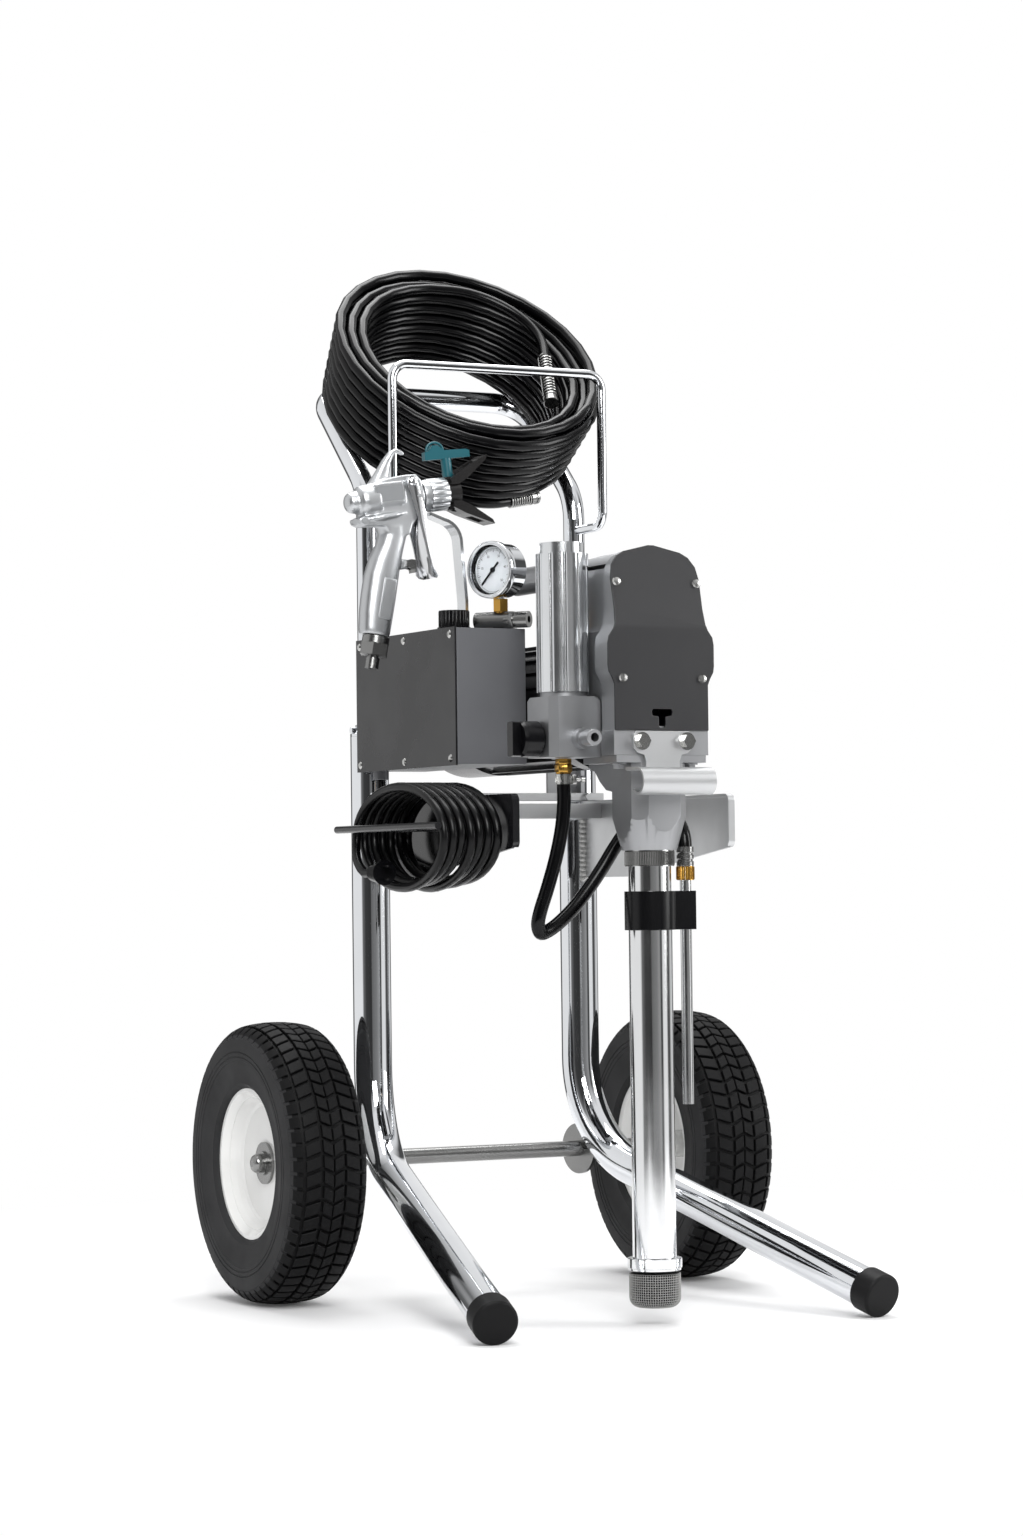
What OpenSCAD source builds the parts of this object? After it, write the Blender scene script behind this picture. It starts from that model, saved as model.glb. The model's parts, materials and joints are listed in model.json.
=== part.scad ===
/* [Cart] */
// Outside diameter of the leg tubes
leg_d = 39; // [34:0.5:44]
// Wall of the leg tubes
leg_wall = 2; // [1.2:0.2:3]
// Distance between the two leg tubes, centre to centre
leg_gauge = 238; // [220:1:260]
// Radius of the big bend in each leg, on its centreline
leg_bend_r = 115; // [100:1:130]
// Height of the corner that the bend rounds off
leg_corner_z = 148; // [140:1:160]
// How far in front of the leg tubes the feet stand
foot_reach = 441; // [400:1:480]
// How far out to each side a foot stands from the centre
foot_spread = 204.5; // [180:0.5:225]
// Outside diameter of the rubber foot caps
foot_cap_d = 43; // [41:0.5:47]
// Length of the rubber foot caps
foot_cap_l = 21; // [16:1:30]
// Height of the top of the leg tubes
leg_top_z = 566; // [555:1:575]

/* [Wheels] */
// Diameter of the tyres
tyre_d = 280; // [270:1:290]
// Width of the tyres
tyre_w = 83; // [76:1:88]
// Diameter of the rim's outer lip
rim_d = 150; // [140:1:154]
// Distance between the wheels' centre planes
track = 458; // [450:1:474]
// How far behind the leg tubes' centreline the axle lies, negative is in front
axle_y = -8.5; // [-10:0.5:-6]
// Diameter of the axle
axle_d = 16; // [12:0.5:18]

/* [Handle] */
// Outside diameter of the handle tube
handle_d = 22.2; // [19:0.1:25]
// Height of the corner where the handle bends back
handle_corner_z = 817; // [805:1:830]
// Bend radius of the handle
handle_bend_r = 52; // [45:1:60]
// Angle that the bent-back part rises at
handle_slope = 43.7; // [40:0.1:47]
// Length of the bent-back part, from its corner to the closing bar
handle_back = 164; // [145:1:175]
// Height of the lower end of the handle tubes, inside the legs
handle_foot_z = 430; // [400:1:460]
// Rod diameter of the hose hoop
hoop_d = 9.5; // [8:0.1:11]
// How far in front of the handle the hoop stands
hoop_y = -64; // [-70:1:-60]
// Height of the hoop's top bar
hoop_z = 939; // [930:1:950]

/* [Pump] */
// How far in front of the leg tubes the pump's axis lies
pump_y = -369; // [-375:1:-363]
// Outside diameter of the siphon tube
siphon_d = 41.3; // [39:0.1:43]
// Wall of the siphon tube
siphon_wall = 1.6; // [1:0.2:3]
// Height of the lower end of the siphon tube
siphon_z = 62; // [55:1:70]
// Outside diameter of the pump cylinder
cylinder_d = 40.6; // [38:0.1:42]
// Bore of the pump cylinder
piston_d = 32; // [28:0.5:34]
// Stroke of the piston
stroke = 30; // [20:1:34]
// Diameter of the strainer
strainer_d = 48; // [44:0.5:52]
// Diameter of the steel drain tube
drain_d = 10.8; // [9:0.1:12]
// How far to the side of the pump's axis the drain tube hangs
drain_x = 38.6; // [37:0.1:41]
// Outside diameter of the black drain hose
drain_hose_d = 13.2; // [11:0.1:14]

/* [Drive] */
// Radius of the motor's body
motor_r = 63; // [58:0.5:64]
// Height of the motor's axis
motor_z = 588; // [585:1:591]
// Thickness of the painted front cover
cover_t = 2.5; // [1.5:0.5:4]
// Height at which the front cover starts to lean back
crease_z = 655; // [650:1:660]
// Angle at which the upper part of the front cover leans back
cover_lean = 13; // [8:1:16]
// Diameter of the fluted filter tube
filter_d = 49.8; // [46:0.1:50]
// Height of the fluted filter tube
filter_h = 130.5; // [110:0.5:140]

/* [Control box] */
// Length of the control box, front to back
box_l = 227; // [215:1:235]
// Width of the control box
box_w = 76; // [70:1:76]
// Height of the control box
box_h = 131; // [120:1:138]
// Height of the control box's underside
box_z = 530; // [526:1:536]
// Sheet thickness of the control box
box_t = 1.6; // [1:0.2:2.4]
// Diameter of the gauge's bezel
gauge_d = 55.4; // [50:0.2:60]
// Diameter of the pressure knob
knob_d = 32.6; // [28:0.2:34]

/* [Spray gun] */
// Diameter of the gun's front nut
gun_nut_d = 32.8; // [30:0.2:36]
// Width of the gun's body
gun_w = 27; // [24:0.5:30]
// How far the gun points up
gun_tilt = 7; // [4:0.5:10]
// Angle between the gun's grip and square to its barrel
grip_rake = 17; // [12:0.5:22]

/* [Hoses and cord] */
// Outside diameter of the spray hose
hose_d = 11.1; // [10:0.1:11.2]
// Rise of the spray hose from one turn to the next
hose_pitch = 11.6; // [11.5:0.1:12]
// Turns in each of the spray hose's two layers
hose_turns = 7.5; // [4.5:1:8.5]
// Radius of the spray hose's widest turn, at the top of its outer layer
hose_coil_r = 140.4; // [136:0.2:141]
// Diameter of the power cord
cord_d = 8.8; // [7:0.1:9]
// Pitch of the turns of the power cord
cord_pitch = 9.3; // [9.3:0.1:10.6]
// Turns of the power cord on its hanger
cord_turns = 7; // [4:1:7]

/* [Hidden] */
$fn = 48;

CHROME = "#d6d8da";
STEEL = "#a9abad";
CAST = "#b4b5b4";
DARK = "#2c2c2d";
BLACK = "#151515";
BRASS = "#c9973a";
WHITE = "#ecebe7";
TEAL = "#12808a";

leg_r = leg_d / 2;
leg_x = leg_gauge / 2;
foot_edge_r = 3;
leg_run = norm([foot_spread - leg_x, foot_reach]);
leg_fall = atan2(leg_corner_z - foot_cap_d / 2, leg_run);
foot_z = (foot_cap_d / 2 - foot_edge_r) * cos(leg_fall) + foot_edge_r;
leg_drop = leg_corner_z - foot_z;
leg_turn = atan2(leg_run, leg_drop);
leg_yaw = atan2(foot_spread - leg_x, foot_reach);
leg_tangent = leg_bend_r * tan(leg_turn / 2);
leg_slope_l = norm([leg_run, leg_drop]) - leg_tangent;
tyre_r = tyre_d / 2;
axle_r = axle_d / 2;
axle_z = tyre_r;
rim_r = rim_d / 2;
hub_u = 12;
hub_r = 14;
bush_r = 11;
axle_half = track / 2 + 23;
floor_y = (foot_reach + 9 - axle_y - tyre_r) / 2;

handle_r = handle_d / 2;
handle_turn = 90 - handle_slope;
handle_tangent = handle_bend_r * tan(handle_turn / 2);
handle_straight = handle_back - handle_tangent;
hoop_r = hoop_d / 2;

siphon_r = siphon_d / 2;
cylinder_r = cylinder_d / 2;
piston_r = piston_d / 2;
yoke_z = 445;
block_z = 534;
motor_front_y = pump_y + 79;
motor_rear_y = -52;
housing_y = pump_y - 26;
housing_rear_y = motor_front_y;
housing_hw = 48.5;
cover_z = 557;
cover_top_z = 732;
crank_z = 632;
crank_r = stroke / 2;
pinion_r = 11.9;
pinion_at = motor_rear_y + 58 - (motor_front_y - 8) + 4;
gear_r = crank_z - motor_z - pinion_r - 0.1;
filter_r = filter_d / 2;
filter_x = -housing_hw - 0.8 - filter_r;
filter_y = pump_y + 29;
filter_z = 594.5;
valve_z = 550.3;

box_x0 = -142;
box_x1 = box_x0 + box_w;
box_y1 = -leg_r - 0.3;
box_y0 = box_y1 - box_l;
box_z1 = box_z + box_h;
knob_x = -123.5;
knob_y = -208;
bar_yaw = -52;
bar_x = -100.5;
bar_y = -211;
bar_r = 8.5;
bar_z = box_z1 + bar_r + 0.2;
bar_l = 37;
gauge_x = bar_x + 26 * cos(bar_yaw);
gauge_y = bar_y + 26 * sin(bar_yaw);
gauge_r = gauge_d / 2;
gauge_z = 718;
gauge_yaw = -157;
gun_x = -208.5;
gun_y = -181;
gun_z = 785;
plate_z = 500;
plate_y0 = -leg_r - 0.2;
plate_y1 = -323;
hanger_y = -212;
hanger_z = 470;
hanger_x = -200;

function unit(v) = v / norm(v);
function arc(cx, cy, r, a0, a1, n = 8) = [for (i = [0:n]) let (a = a0 + (a1 - a0) * i / n)
    [cx + r * cos(a), cy + r * sin(a)]];
function flat_to(v, t) = unit(v - (v * t) * t);
function tangents(p) = [for (i = [0:len(p) - 1])
    unit(p[min(i + 1, len(p) - 1)] - p[max(i - 1, 0)])];
function frames(t, up) = [for (i = 0, v = flat_to(up, t[0]); i < len(t);
    i = i + 1, v = i < len(t) ? flat_to(v, t[i]) : v) v];
function bezier(a, b, c, d, n) = [for (i = [0:n]) let (t = i / n, s = 1 - t)
    s * s * s * a + 3 * s * s * t * b + 3 * s * t * t * c + t * t * t * d];
function smooth(t) = t * t * (3 - 2 * t);

// An unbroken tube of m sides along the points p, its faces all triangles.
module tube_along(p, r, m = 6, up = [0, 0, 1]) {
    n = len(p);
    t = tangents(p);
    u = frames(t, up);
    rings = [for (i = [0:n - 1]) let (w = cross(t[i], u[i])) for (j = [0:m - 1])
        p[i] + r * (cos(360 * j / m) * u[i] + sin(360 * j / m) * w)];
    sides = [for (i = [0:n - 2]) for (j = [0:m - 1]) let (k = (j + 1) % m)
        each [[i * m + j, i * m + k, (i + 1) * m + k], [i * m + j, (i + 1) * m + k, (i + 1) * m + j]]];
    start = [for (j = [1:m - 2]) [0, j + 1, j]];
    last = (n - 1) * m;
    finish = [for (j = [1:m - 2]) [last, last + j, last + j + 1]];
    polyhedron(points = rings, faces = [each [for (f = sides) [f[0], f[2], f[1]]],
        each [for (f = start) [f[0], f[2], f[1]]], each [for (f = finish) [f[0], f[2], f[1]]]]);
}

// A straight round bar from point a to point b.
module bar(a, b, r, r2 = 0) {
    d = b - a;
    translate(a)
        rotate([0, acos(d[2] / norm(d)), atan2(d[1], d[0])])
            cylinder(r1 = r, r2 = r2 > 0 ? r2 : r, h = norm(d));
}

module along_x() { rotate([0, 90, 0]) children(); }
module along_y() { rotate([90, 0, 0]) children(); }
module box3(lo, hi) { translate(lo) cube(hi - lo); }
module hex(r, h) { cylinder(r = r, h = h, $fn = 6); }
module mirror_pair() { children(); mirror([1, 0, 0]) children(); }

// ---- Cart -------------------------------------------------------------------

// One leg about its own vertical tube, reaching forward, before it is splayed.
module leg_shape(r, past) {
    translate([0, 0, leg_corner_z + leg_tangent])
        cylinder(r = r, h = leg_top_z - leg_corner_z - leg_tangent + past);
    translate([0, -leg_bend_r, leg_corner_z + leg_tangent])
        rotate([0, 90, 0])
            rotate([0, 0, 90])
                rotate_extrude(angle = -leg_turn)
                    translate([leg_bend_r, 0])
                        circle(r = r);
    translate([0, 0, leg_corner_z])
        rotate([180 - leg_turn, 0, 0])
            translate([0, 0, leg_tangent])
                cylinder(r = r, h = leg_slope_l + past);
}

module leg(side) {
    color(CHROME)
        translate([side * leg_x, 0, 0])
            rotate([0, 0, side * leg_yaw])
                difference() {
                    leg_shape(leg_r, 0);
                    leg_shape(leg_r - leg_wall, 1);
                }
}

module left_leg() { leg(-1); }
module right_leg() { leg(1); }

module foot_cap() {
    rotate([180 - leg_turn, 0, 0])
        translate([0, 0, leg_tangent + leg_slope_l - foot_cap_l])
            difference() {
                rotate_extrude()
                    polygon([[0, 0], [leg_r + 0.1, 0], [foot_cap_d / 2, 0.8],
                        each arc(foot_cap_d / 2 - foot_edge_r, foot_cap_l, foot_edge_r, 0, 90, 5),
                        [0, foot_cap_l + foot_edge_r]]);
                translate([0, 0, -1])
                    cylinder(r = leg_r + 0.05, h = foot_cap_l + 1);
            }
}

module foot_caps() {
    color(BLACK)
        for (side = [-1, 1])
            translate([side * leg_x, 0, 0])
                rotate([0, 0, side * leg_yaw])
                    translate([0, 0, leg_corner_z])
                        foot_cap();
}

// The axle rod, with a round plate welded on it at the inner side of each leg.
module axle() {
    color(STEEL) {
        translate([-axle_half, axle_y, axle_z])
            along_x()
                cylinder(r = axle_r, h = 2 * axle_half);
        for (side = [-1, 1])
            translate([side * (leg_x - 7), axle_y, axle_z])
                rotate([0, 0, side * leg_yaw])
                    along_x()
                        cylinder(r = 26, h = 4, center = true);
    }
}

module axle_nuts() {
    color(DARK)
        mirror_pair()
            translate([track / 2 + hub_u + 0.3, axle_y, axle_z])
                along_x()
                    difference() {
                        union() {
                            cylinder(r = 21, h = 3);
                            translate([0, 0, 3])
                                cylinder(r = 12, h = 2);
                            translate([0, 0, 5])
                                rotate_extrude()
                                    polygon([[0, 0], [9.5, 0], [9.5, 4.5], each arc(3.5, 4.5, 6, 0, 90, 6),
                                        [0, 10.5]]);
                        }
                        translate([0, 0, -1])
                            cylinder(r = axle_r + 0.02, h = 12);
                    }
}

// A side plate: deep where it is welded to the leg, shallow at its front end.
module side_plate(side) {
    outline = [[plate_y0, plate_z], [plate_y0, plate_z - 79], [-108, plate_z - 79],
        [plate_y1 + 8, plate_z - 52], each arc(plate_y1 + 7, plate_z - 45, 7, 270, 180, 5),
        each arc(plate_y1 + 7, plate_z - 7, 7, 180, 90, 5)];
    color(CAST)
        translate([side * leg_x, 0, 0])
            rotate([90, 0, 90]) {
                translate([0, 0, -1.5])
                    linear_extrude(3)
                        polygon(outline);
                translate([0, 0, side > 0 ? -5.5 : 1.5])
                    linear_extrude(4)
                        difference() {
                            polygon(outline);
                            translate([3, -3])
                                polygon([for (p = outline) [min(p[0], plate_y0 + 5), p[1]]]);
                            translate([0, -110])
                                square([400, 60], center = true);
                            polygon([[plate_y1 + 3, plate_z - 3], [plate_y0 + 5, plate_z - 3],
                                [plate_y0 + 5, plate_z - 90], [-108, plate_z - 90],
                                [plate_y1 + 3, plate_z - 60]]);
                        }
            }
}

module left_side_plate() { side_plate(-1); }
module right_side_plate() { side_plate(1); }

// The channel that joins the side plates and carries the motor's bracket.
module cross_rail() {
    color(STEEL) {
        difference() {
            box3([-leg_x + 1.6, -56, plate_z - 18.2], [leg_x - 1.6, -30, plate_z - 3.2]);
            box3([-leg_x + 1, -54, plate_z - 19], [leg_x - 1, -32, plate_z - 5.2]);
        }
        difference() {
            box3([-leg_x - 1.4, -56, plate_z + 0.1], [leg_x + 1.4, -30, plate_z + 7.5]);
            box3([-leg_x, -53, plate_z], [leg_x, -33, plate_z + 5.5]);
        }
        for (x = [-90, 74, 102])
            translate([x, -56, plate_z + 3.8])
                along_y()
                    hex(4.6, 4);
    }
}

// The upright plate that holds the motor's rear end between the legs.
module motor_bracket() {
    color(CAST)
        difference() {
            union() {
                box3([62, -44, plate_z + 7.7], [leg_x - leg_r - 0.3, -40, motor_z + 12]);
                box3([leg_x - leg_r - 4.3, -54, plate_z + 7.7], [leg_x - leg_r - 0.3, -26, motor_z + 12]);
            }
            translate([0, -30, motor_z])
                along_y()
                    cylinder(r = motor_r + 0.05, h = 40);
        }
}

// The reducing collar at the top of each leg, with its clamp bolt.
module tube_collars() {
    color(STEEL)
        mirror_pair() {
            translate([leg_x, 0, leg_top_z])
                difference() {
                    rotate_extrude()
                        polygon([[0, -60], [leg_r - leg_wall - 0.05, -60], [leg_r - leg_wall - 0.05, 0],
                            [leg_r, 0.1], [leg_r, 3], [handle_r + 3, 9], [handle_r + 3, 12], [0, 12]]);
                    translate([0, 0, -61])
                        cylinder(r = handle_r + 0.08, h = 80);
                }
            translate([leg_x + handle_r + 2.5, 0, leg_top_z + 6.5])
                along_x()
                    cylinder(r = 3.4, h = 7);
        }
}

// The hanger that holds the cord: a post with a rod across its end.
module cord_hanger() {
    color(BLACK) {
        bar([-leg_x - 1.6, hanger_y, hanger_z], [hanger_x, hanger_y, hanger_z], 4);
        translate([-leg_x - 1.6, hanger_y, hanger_z])
            rotate([0, -90, 0])
                cylinder(r = 14, h = 3);
    }
    color(CHROME)
        bar([hanger_x, hanger_y + 114, hanger_z], [hanger_x, hanger_y - 114, hanger_z], 3.6);
}

// ---- Handle -----------------------------------------------------------------

// One arm of the handle: its upright, the bend, the slope and the turn into the closing bar.
module handle_arm() {
    difference() {
        translate([leg_x, 0, handle_foot_z])
            cylinder(r = handle_r, h = handle_corner_z - handle_tangent - handle_foot_z);
        translate([leg_x, 0, handle_foot_z - 1])
            cylinder(r = handle_r - 1.6, h = handle_corner_z - handle_tangent - handle_foot_z - 5);
    }
    translate([leg_x, handle_bend_r, handle_corner_z - handle_tangent])
        rotate([0, 90, 0])
            rotate([0, 0, -90 - handle_turn])
                rotate_extrude(angle = handle_turn)
                    translate([handle_bend_r, 0])
                        circle(r = handle_r);
    translate([leg_x, 0, handle_corner_z])
        rotate([-handle_turn, 0, 0]) {
            translate([0, 0, handle_tangent])
                cylinder(r = handle_r, h = handle_straight - closing_r);
            translate([-closing_r, 0, handle_tangent + handle_straight - closing_r])
                rotate([90, 0, 0])
                    rotate_extrude(angle = 90)
                        translate([closing_r, 0])
                            circle(r = handle_r);
        }
}

closing_r = 34;
module handle() {
    color(CHROME) {
        mirror_pair()
            handle_arm();
        translate([0, 0, handle_corner_z])
            rotate([-handle_turn, 0, 0])
                translate([0, 0, handle_tangent + handle_straight])
                    along_x()
                        cylinder(r = handle_r, h = 2 * (leg_x - closing_r), center = true);
    }
}

hoop_bend = 16;
hoop_foot_z = 783;
module hoop_half() {
    x = leg_x;
    translate([0, hoop_y, hoop_z])
        along_x()
            cylinder(r = hoop_r, h = x - hoop_bend);
    translate([x - hoop_bend, hoop_y, hoop_z - hoop_bend])
        rotate([90, 0, 0])
            rotate_extrude(angle = 90)
                translate([hoop_bend, 0])
                    circle(r = hoop_r);
    translate([x, hoop_y, hoop_foot_z + hoop_bend])
        cylinder(r = hoop_r, h = hoop_z - hoop_foot_z - 2 * hoop_bend);
    translate([x, hoop_y + hoop_bend, hoop_foot_z + hoop_bend])
        rotate([0, 90, 0])
            rotate([0, 0, -90])
                rotate_extrude(angle = 90)
                    translate([hoop_bend, 0])
                        circle(r = hoop_r);
    translate([x, hoop_y + hoop_bend, hoop_foot_z])
        rotate([-90, 0, 0])
            cylinder(r = hoop_r, h = -hoop_y - hoop_bend - handle_r + 0.6);
}

module hose_hoop() {
    color(CHROME)
        difference() {
            mirror_pair()
                hoop_half();
            mirror_pair()
                translate([leg_x, 0, hoop_foot_z - 20])
                    cylinder(r = handle_r + 0.01, h = 40);
        }
}

// ---- Wheels -----------------------------------------------------------------

module wheel_place(side) {
    translate([side * track / 2, axle_y, axle_z])
        rotate([0, side * 90, 0])
            children();
}

module rim(side) {
    color(WHITE)
        wheel_place(side) {
            rotate_extrude()
                polygon([[bush_r, -24], [hub_r, -24], [hub_r, hub_u - 3.5], [57, hub_u - 3.5],
                    [62, 3], [62, -24], [68, -31], [rim_r, -31], [rim_r, -28], [rim_r - 9, -24],
                    [rim_r - 9, 24], [rim_r, 28], [rim_r, 31], [rim_r - 3.5, 31], [rim_r - 8, 25],
                    [63, 18], [60, hub_u + 2], [57, hub_u], [hub_r, hub_u], [bush_r, hub_u]]);
            difference() {
                translate([0, 0, -24])
                    cylinder(r = bush_r - 0.02, h = 24 + hub_u);
                translate([0, 0, -25])
                    cylinder(r = axle_r + 0.06, h = 80);
            }
        }
}

module left_rim() { rim(-1); }
module right_rim() { rim(1); }

module tyre(side) {
    hw = tyre_w / 2;
    r = tyre_r;
    half = [[r, 9], [r - 3.2, 9.4], [r - 3.2, 12], [r - 0.6, 12.4], [r - 2.2, 26], [r - 4.2, 30],
        each arc(r - 20, hw - 13, 13, 45, 0, 4), [r - 34, hw + 0.2], [r - 50, hw - 2],
        [rim_r + 7, 35.5], [rim_r + 5, 36.5], [rim_r + 3, 34.5], [rim_r + 0.4, 31.2],
        [rim_r + 0.2, 27.8], [rim_r - 8.7, 23.8]];
    turned = [for (i = [len(half) - 1:-1:0]) [half[i][0], -half[i][1]]];
    color(BLACK)
        wheel_place(side)
            rotate_extrude($fn = 72)
                polygon([each half, each turned]);
}

module left_tyre() { tyre(-1); }
module right_tyre() { tyre(1); }

// ---- Control box ------------------------------------------------------------

module control_box() {
    color("#4a4a4b")
        difference() {
            box3([box_x0 + 2, box_y0, box_z], [box_x1, box_y1, box_z1]);
            box3([box_x0 + 1, box_y0 + box_t, box_z + box_t], [box_x1 - box_t, box_y1 - box_t, box_z1 - box_t]);
            translate([knob_x, knob_y, box_z1 - 5])
                cylinder(r = 4.1, h = 10);
        }
    color(BLACK)
        translate([-126, -42, box_z - 9])
            difference() {
                cylinder(r = 8, h = 9);
                translate([0, 0, -1])
                    cylinder(r = cord_d / 2 + 0.1, h = 11);
            }
}

module side_panel() {
    color(DARK)
        difference() {
            box3([box_x0, box_y0 + 0.2, box_z - 1], [box_x0 + 1.9, box_y1 - 0.2, box_z1 + 1]);
            for (p = panel_screws)
                translate([box_x0 - 1, p[0], p[1]])
                    along_x()
                        cylinder(r = 2.1, h = 5);
        }
}

panel_screws = [for (k = [0:2]) for (z = [box_z + 6, box_z1 - 6])
    [box_y0 + 12 + k * (box_l - 20) / 2, z]];

module box_screws() {
    color(CHROME)
        for (p = panel_screws)
            translate([box_x0, p[0], p[1]])
                rotate([0, 90, 0]) {
                    cylinder(r = 2.05, h = 5);
                    translate([0, 0, -2.2])
                        rotate_extrude()
                            polygon([[0, 0], each arc(0.5, 3.6, 3.6, 270, 330, 3), [3.9, 2.2], [0, 2.2]]);
                }
}

module circuit_board() {
    color("#2f5d3a")
        box3([box_x1 - box_t - 8, box_y0 + 30, box_z + 15], [box_x1 - box_t - 6.4, box_y1 - 40, box_z1 - 20]);
    color(STEEL) {
        for (y = [box_y0 + 36, box_y1 - 46])
            for (z = [box_z + 22, box_z1 - 27])
                translate([box_x1 - box_t - 6.4, y, z])
                    along_x()
                        cylinder(r = 3, h = 6.2);
        box3([box_x1 - box_t - 28, box_y0 + 60, box_z + 30], [box_x1 - box_t - 8.1, box_y0 + 120, box_z + 80]);
    }
}

module pressure_knob() {
    color(BLACK)
        translate([knob_x, knob_y, box_z1 + 0.3]) {
            difference() {
                union() {
                    cylinder(r = knob_d / 2, h = 2.2);
                    cylinder(r = knob_d / 2 - 1.6, h = 18.5);
                }
                for (k = [0:11])
                    rotate([0, 0, k * 30])
                        translate([knob_d / 2 - 0.6, 0, 3.4])
                            cylinder(r = 2, h = 20, $fn = 16);
            }
            translate([0, 0, -14])
                cylinder(r = 4, h = 14.1);
        }
}

module sensor_bar() {
    color(STEEL)
        translate([bar_x, bar_y, bar_z])
            rotate([0, 0, bar_yaw]) {
                difference() {
                    union() {
                        along_x()
                            cylinder(r = bar_r, h = bar_l);
                        translate([bar_l - 5, 0, 0])
                            along_x()
                                rotate([0, 0, 30])
                                    hex(bar_r + 0.8, 9);
                        translate([bar_l + 3.9, 0, 0])
                            along_x()
                                cylinder(r = 6.9, h = 3.2);
                        translate([bar_l + 7, 0, 0])
                            along_x()
                                cylinder(r = 7.95, h = 12);
                    }
                    translate([20, 0, 0])
                        along_x()
                            cylinder(r = 3.4, h = 40);
                    translate([26, 0, 0])
                        cylinder(r = 4.95, h = 20);
                }
                translate([6, 0, -bar_r - 0.2])
                    translate([-6, -5, 0])
                        cube([20, 10, 3]);
            }
}

module gauge_nut() {
    color(BRASS)
        translate([gauge_x, gauge_y, bar_z + 5])
            difference() {
                union() {
                    cylinder(r = 4.93, h = 4);
                    translate([0, 0, bar_r - 4.98])
                        hex(7.8, gauge_z - gauge_r - bar_z - bar_r + 0.08);
                }
                translate([0, 0, -1])
                    cylinder(r = 1.8, h = 40);
            }
}

module gauge_place() {
    translate([gauge_x, gauge_y, gauge_z])
        rotate([0, 0, gauge_yaw])
            rotate([0, 90, 0])
                children();
}

module gauge_case() {
    color(CHROME)
        gauge_place()
            difference() {
                union() {
                    translate([0, 0, -8])
                        cylinder(r = gauge_r - 1.5, h = 20);
                    translate([0, 0, 10])
                        cylinder(r = gauge_r, h = 7);
                    translate([gauge_r - 3.1, 0, 2])
                        rotate([0, 90, 0])
                            cylinder(r = 5, h = 3);
                }
                translate([0, 0, 2])
                    cylinder(r = gauge_r - 3.6, h = 30);
            }
    color(WHITE)
        gauge_place()
            translate([0, 0, 9])
                difference() {
                    cylinder(r = gauge_r - 3.7, h = 0.8);
                    translate([0, 0, -1])
                        cylinder(r = 1.3, h = 3);
                }
}

module gauge_needle() {
    color(BLACK)
        gauge_place() {
            translate([0, 0, 3])
                cylinder(r = 1.2, h = 9);
            translate([0, 0, 10.6])
                cylinder(r = 2.6, h = 1.4);
            rotate([0, 0, -45])
                translate([-10, -0.9, 11])
                    cube([29, 1.8, 0.8]);
        }
}

module gauge_lens() {
    color("#dfe6ea")
        gauge_place()
            translate([0, 0, 13.6])
                cylinder(r = gauge_r - 3.65, h = 2.4);
}

// The flat strip that stands on the control box and holds the gun.
module gun_holder() {
    w = 18;
    t = 3.2;
    top = 772;
    x = -102;
    bend = 24;
    color(CAST)
        translate([0, gun_y + w / 2, 0])
            along_y()
                linear_extrude(w)
                    polygon([[x - 12, box_z1 + 0.1], [x + t, box_z1 + 0.1], [x + t, box_z1 + 30],
                        [x + t - 5, top - bend], each arc(x + t - 5 - bend, top - bend, bend, 10, 80, 6),
                        [-138, 776.8], [-138, 776.8 - t],
                        each arc(x + t - 5 - bend, top - bend, bend - t, 80, 10, 6),
                        [x - 5, top - bend], [x, box_z1 + 30], [x, box_z1 + t], [x - 12, box_z1 + t]]);
}

// ---- Drive ------------------------------------------------------------------

module motor_shell() {
    color(BLACK)
        difference() {
            union() {
                translate([0, motor_rear_y - 10, motor_z])
                    along_y()
                        cylinder(r = motor_r - 3, h = motor_rear_y - motor_front_y - 30);
                for (k = [0:23])
                    translate([0, 0, motor_z])
                        rotate([0, k * 15, 0])
                            translate([-1, motor_front_y + 28, motor_r - 6])
                                cube([2, motor_rear_y - motor_front_y - 50, 6.4]);
            }
            translate([0, 100, motor_z])
                along_y()
                    cylinder(r = motor_r - 9, h = 500);
        }
    color(CAST) {
        translate([0, motor_front_y + 20, motor_z])
            along_y()
                difference() {
                    cylinder(r = motor_r + 2.5, h = 19.8);
                    translate([0, 0, -1])
                        cylinder(r = motor_r - 9, h = 14);
                    cylinder(r = 11, h = 60, center = true);
                }
        translate([0, motor_rear_y + 62, motor_z])
            along_y()
                difference() {
                    cylinder(r = motor_r, h = 72);
                    translate([0, 0, 6])
                        cylinder(r = motor_r - 6, h = 90);
                    translate([0, 0, -1])
                        cylinder(r = 6.1, h = 30);
                }
    }
}

module motor_rotor() {
    color(STEEL)
        translate([0, motor_rear_y + 58, motor_z])
            along_y() {
                cylinder(r = 6, h = 80);
                translate([0, 0, 40])
                    cylinder(r = 40, h = 180);
                translate([0, 0, 200])
                    cylinder(r = 10, h = pinion_at - 199);
                translate([0, 0, pinion_at])
                    cylinder(r = pinion_r, h = 12);
            }
}

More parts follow.
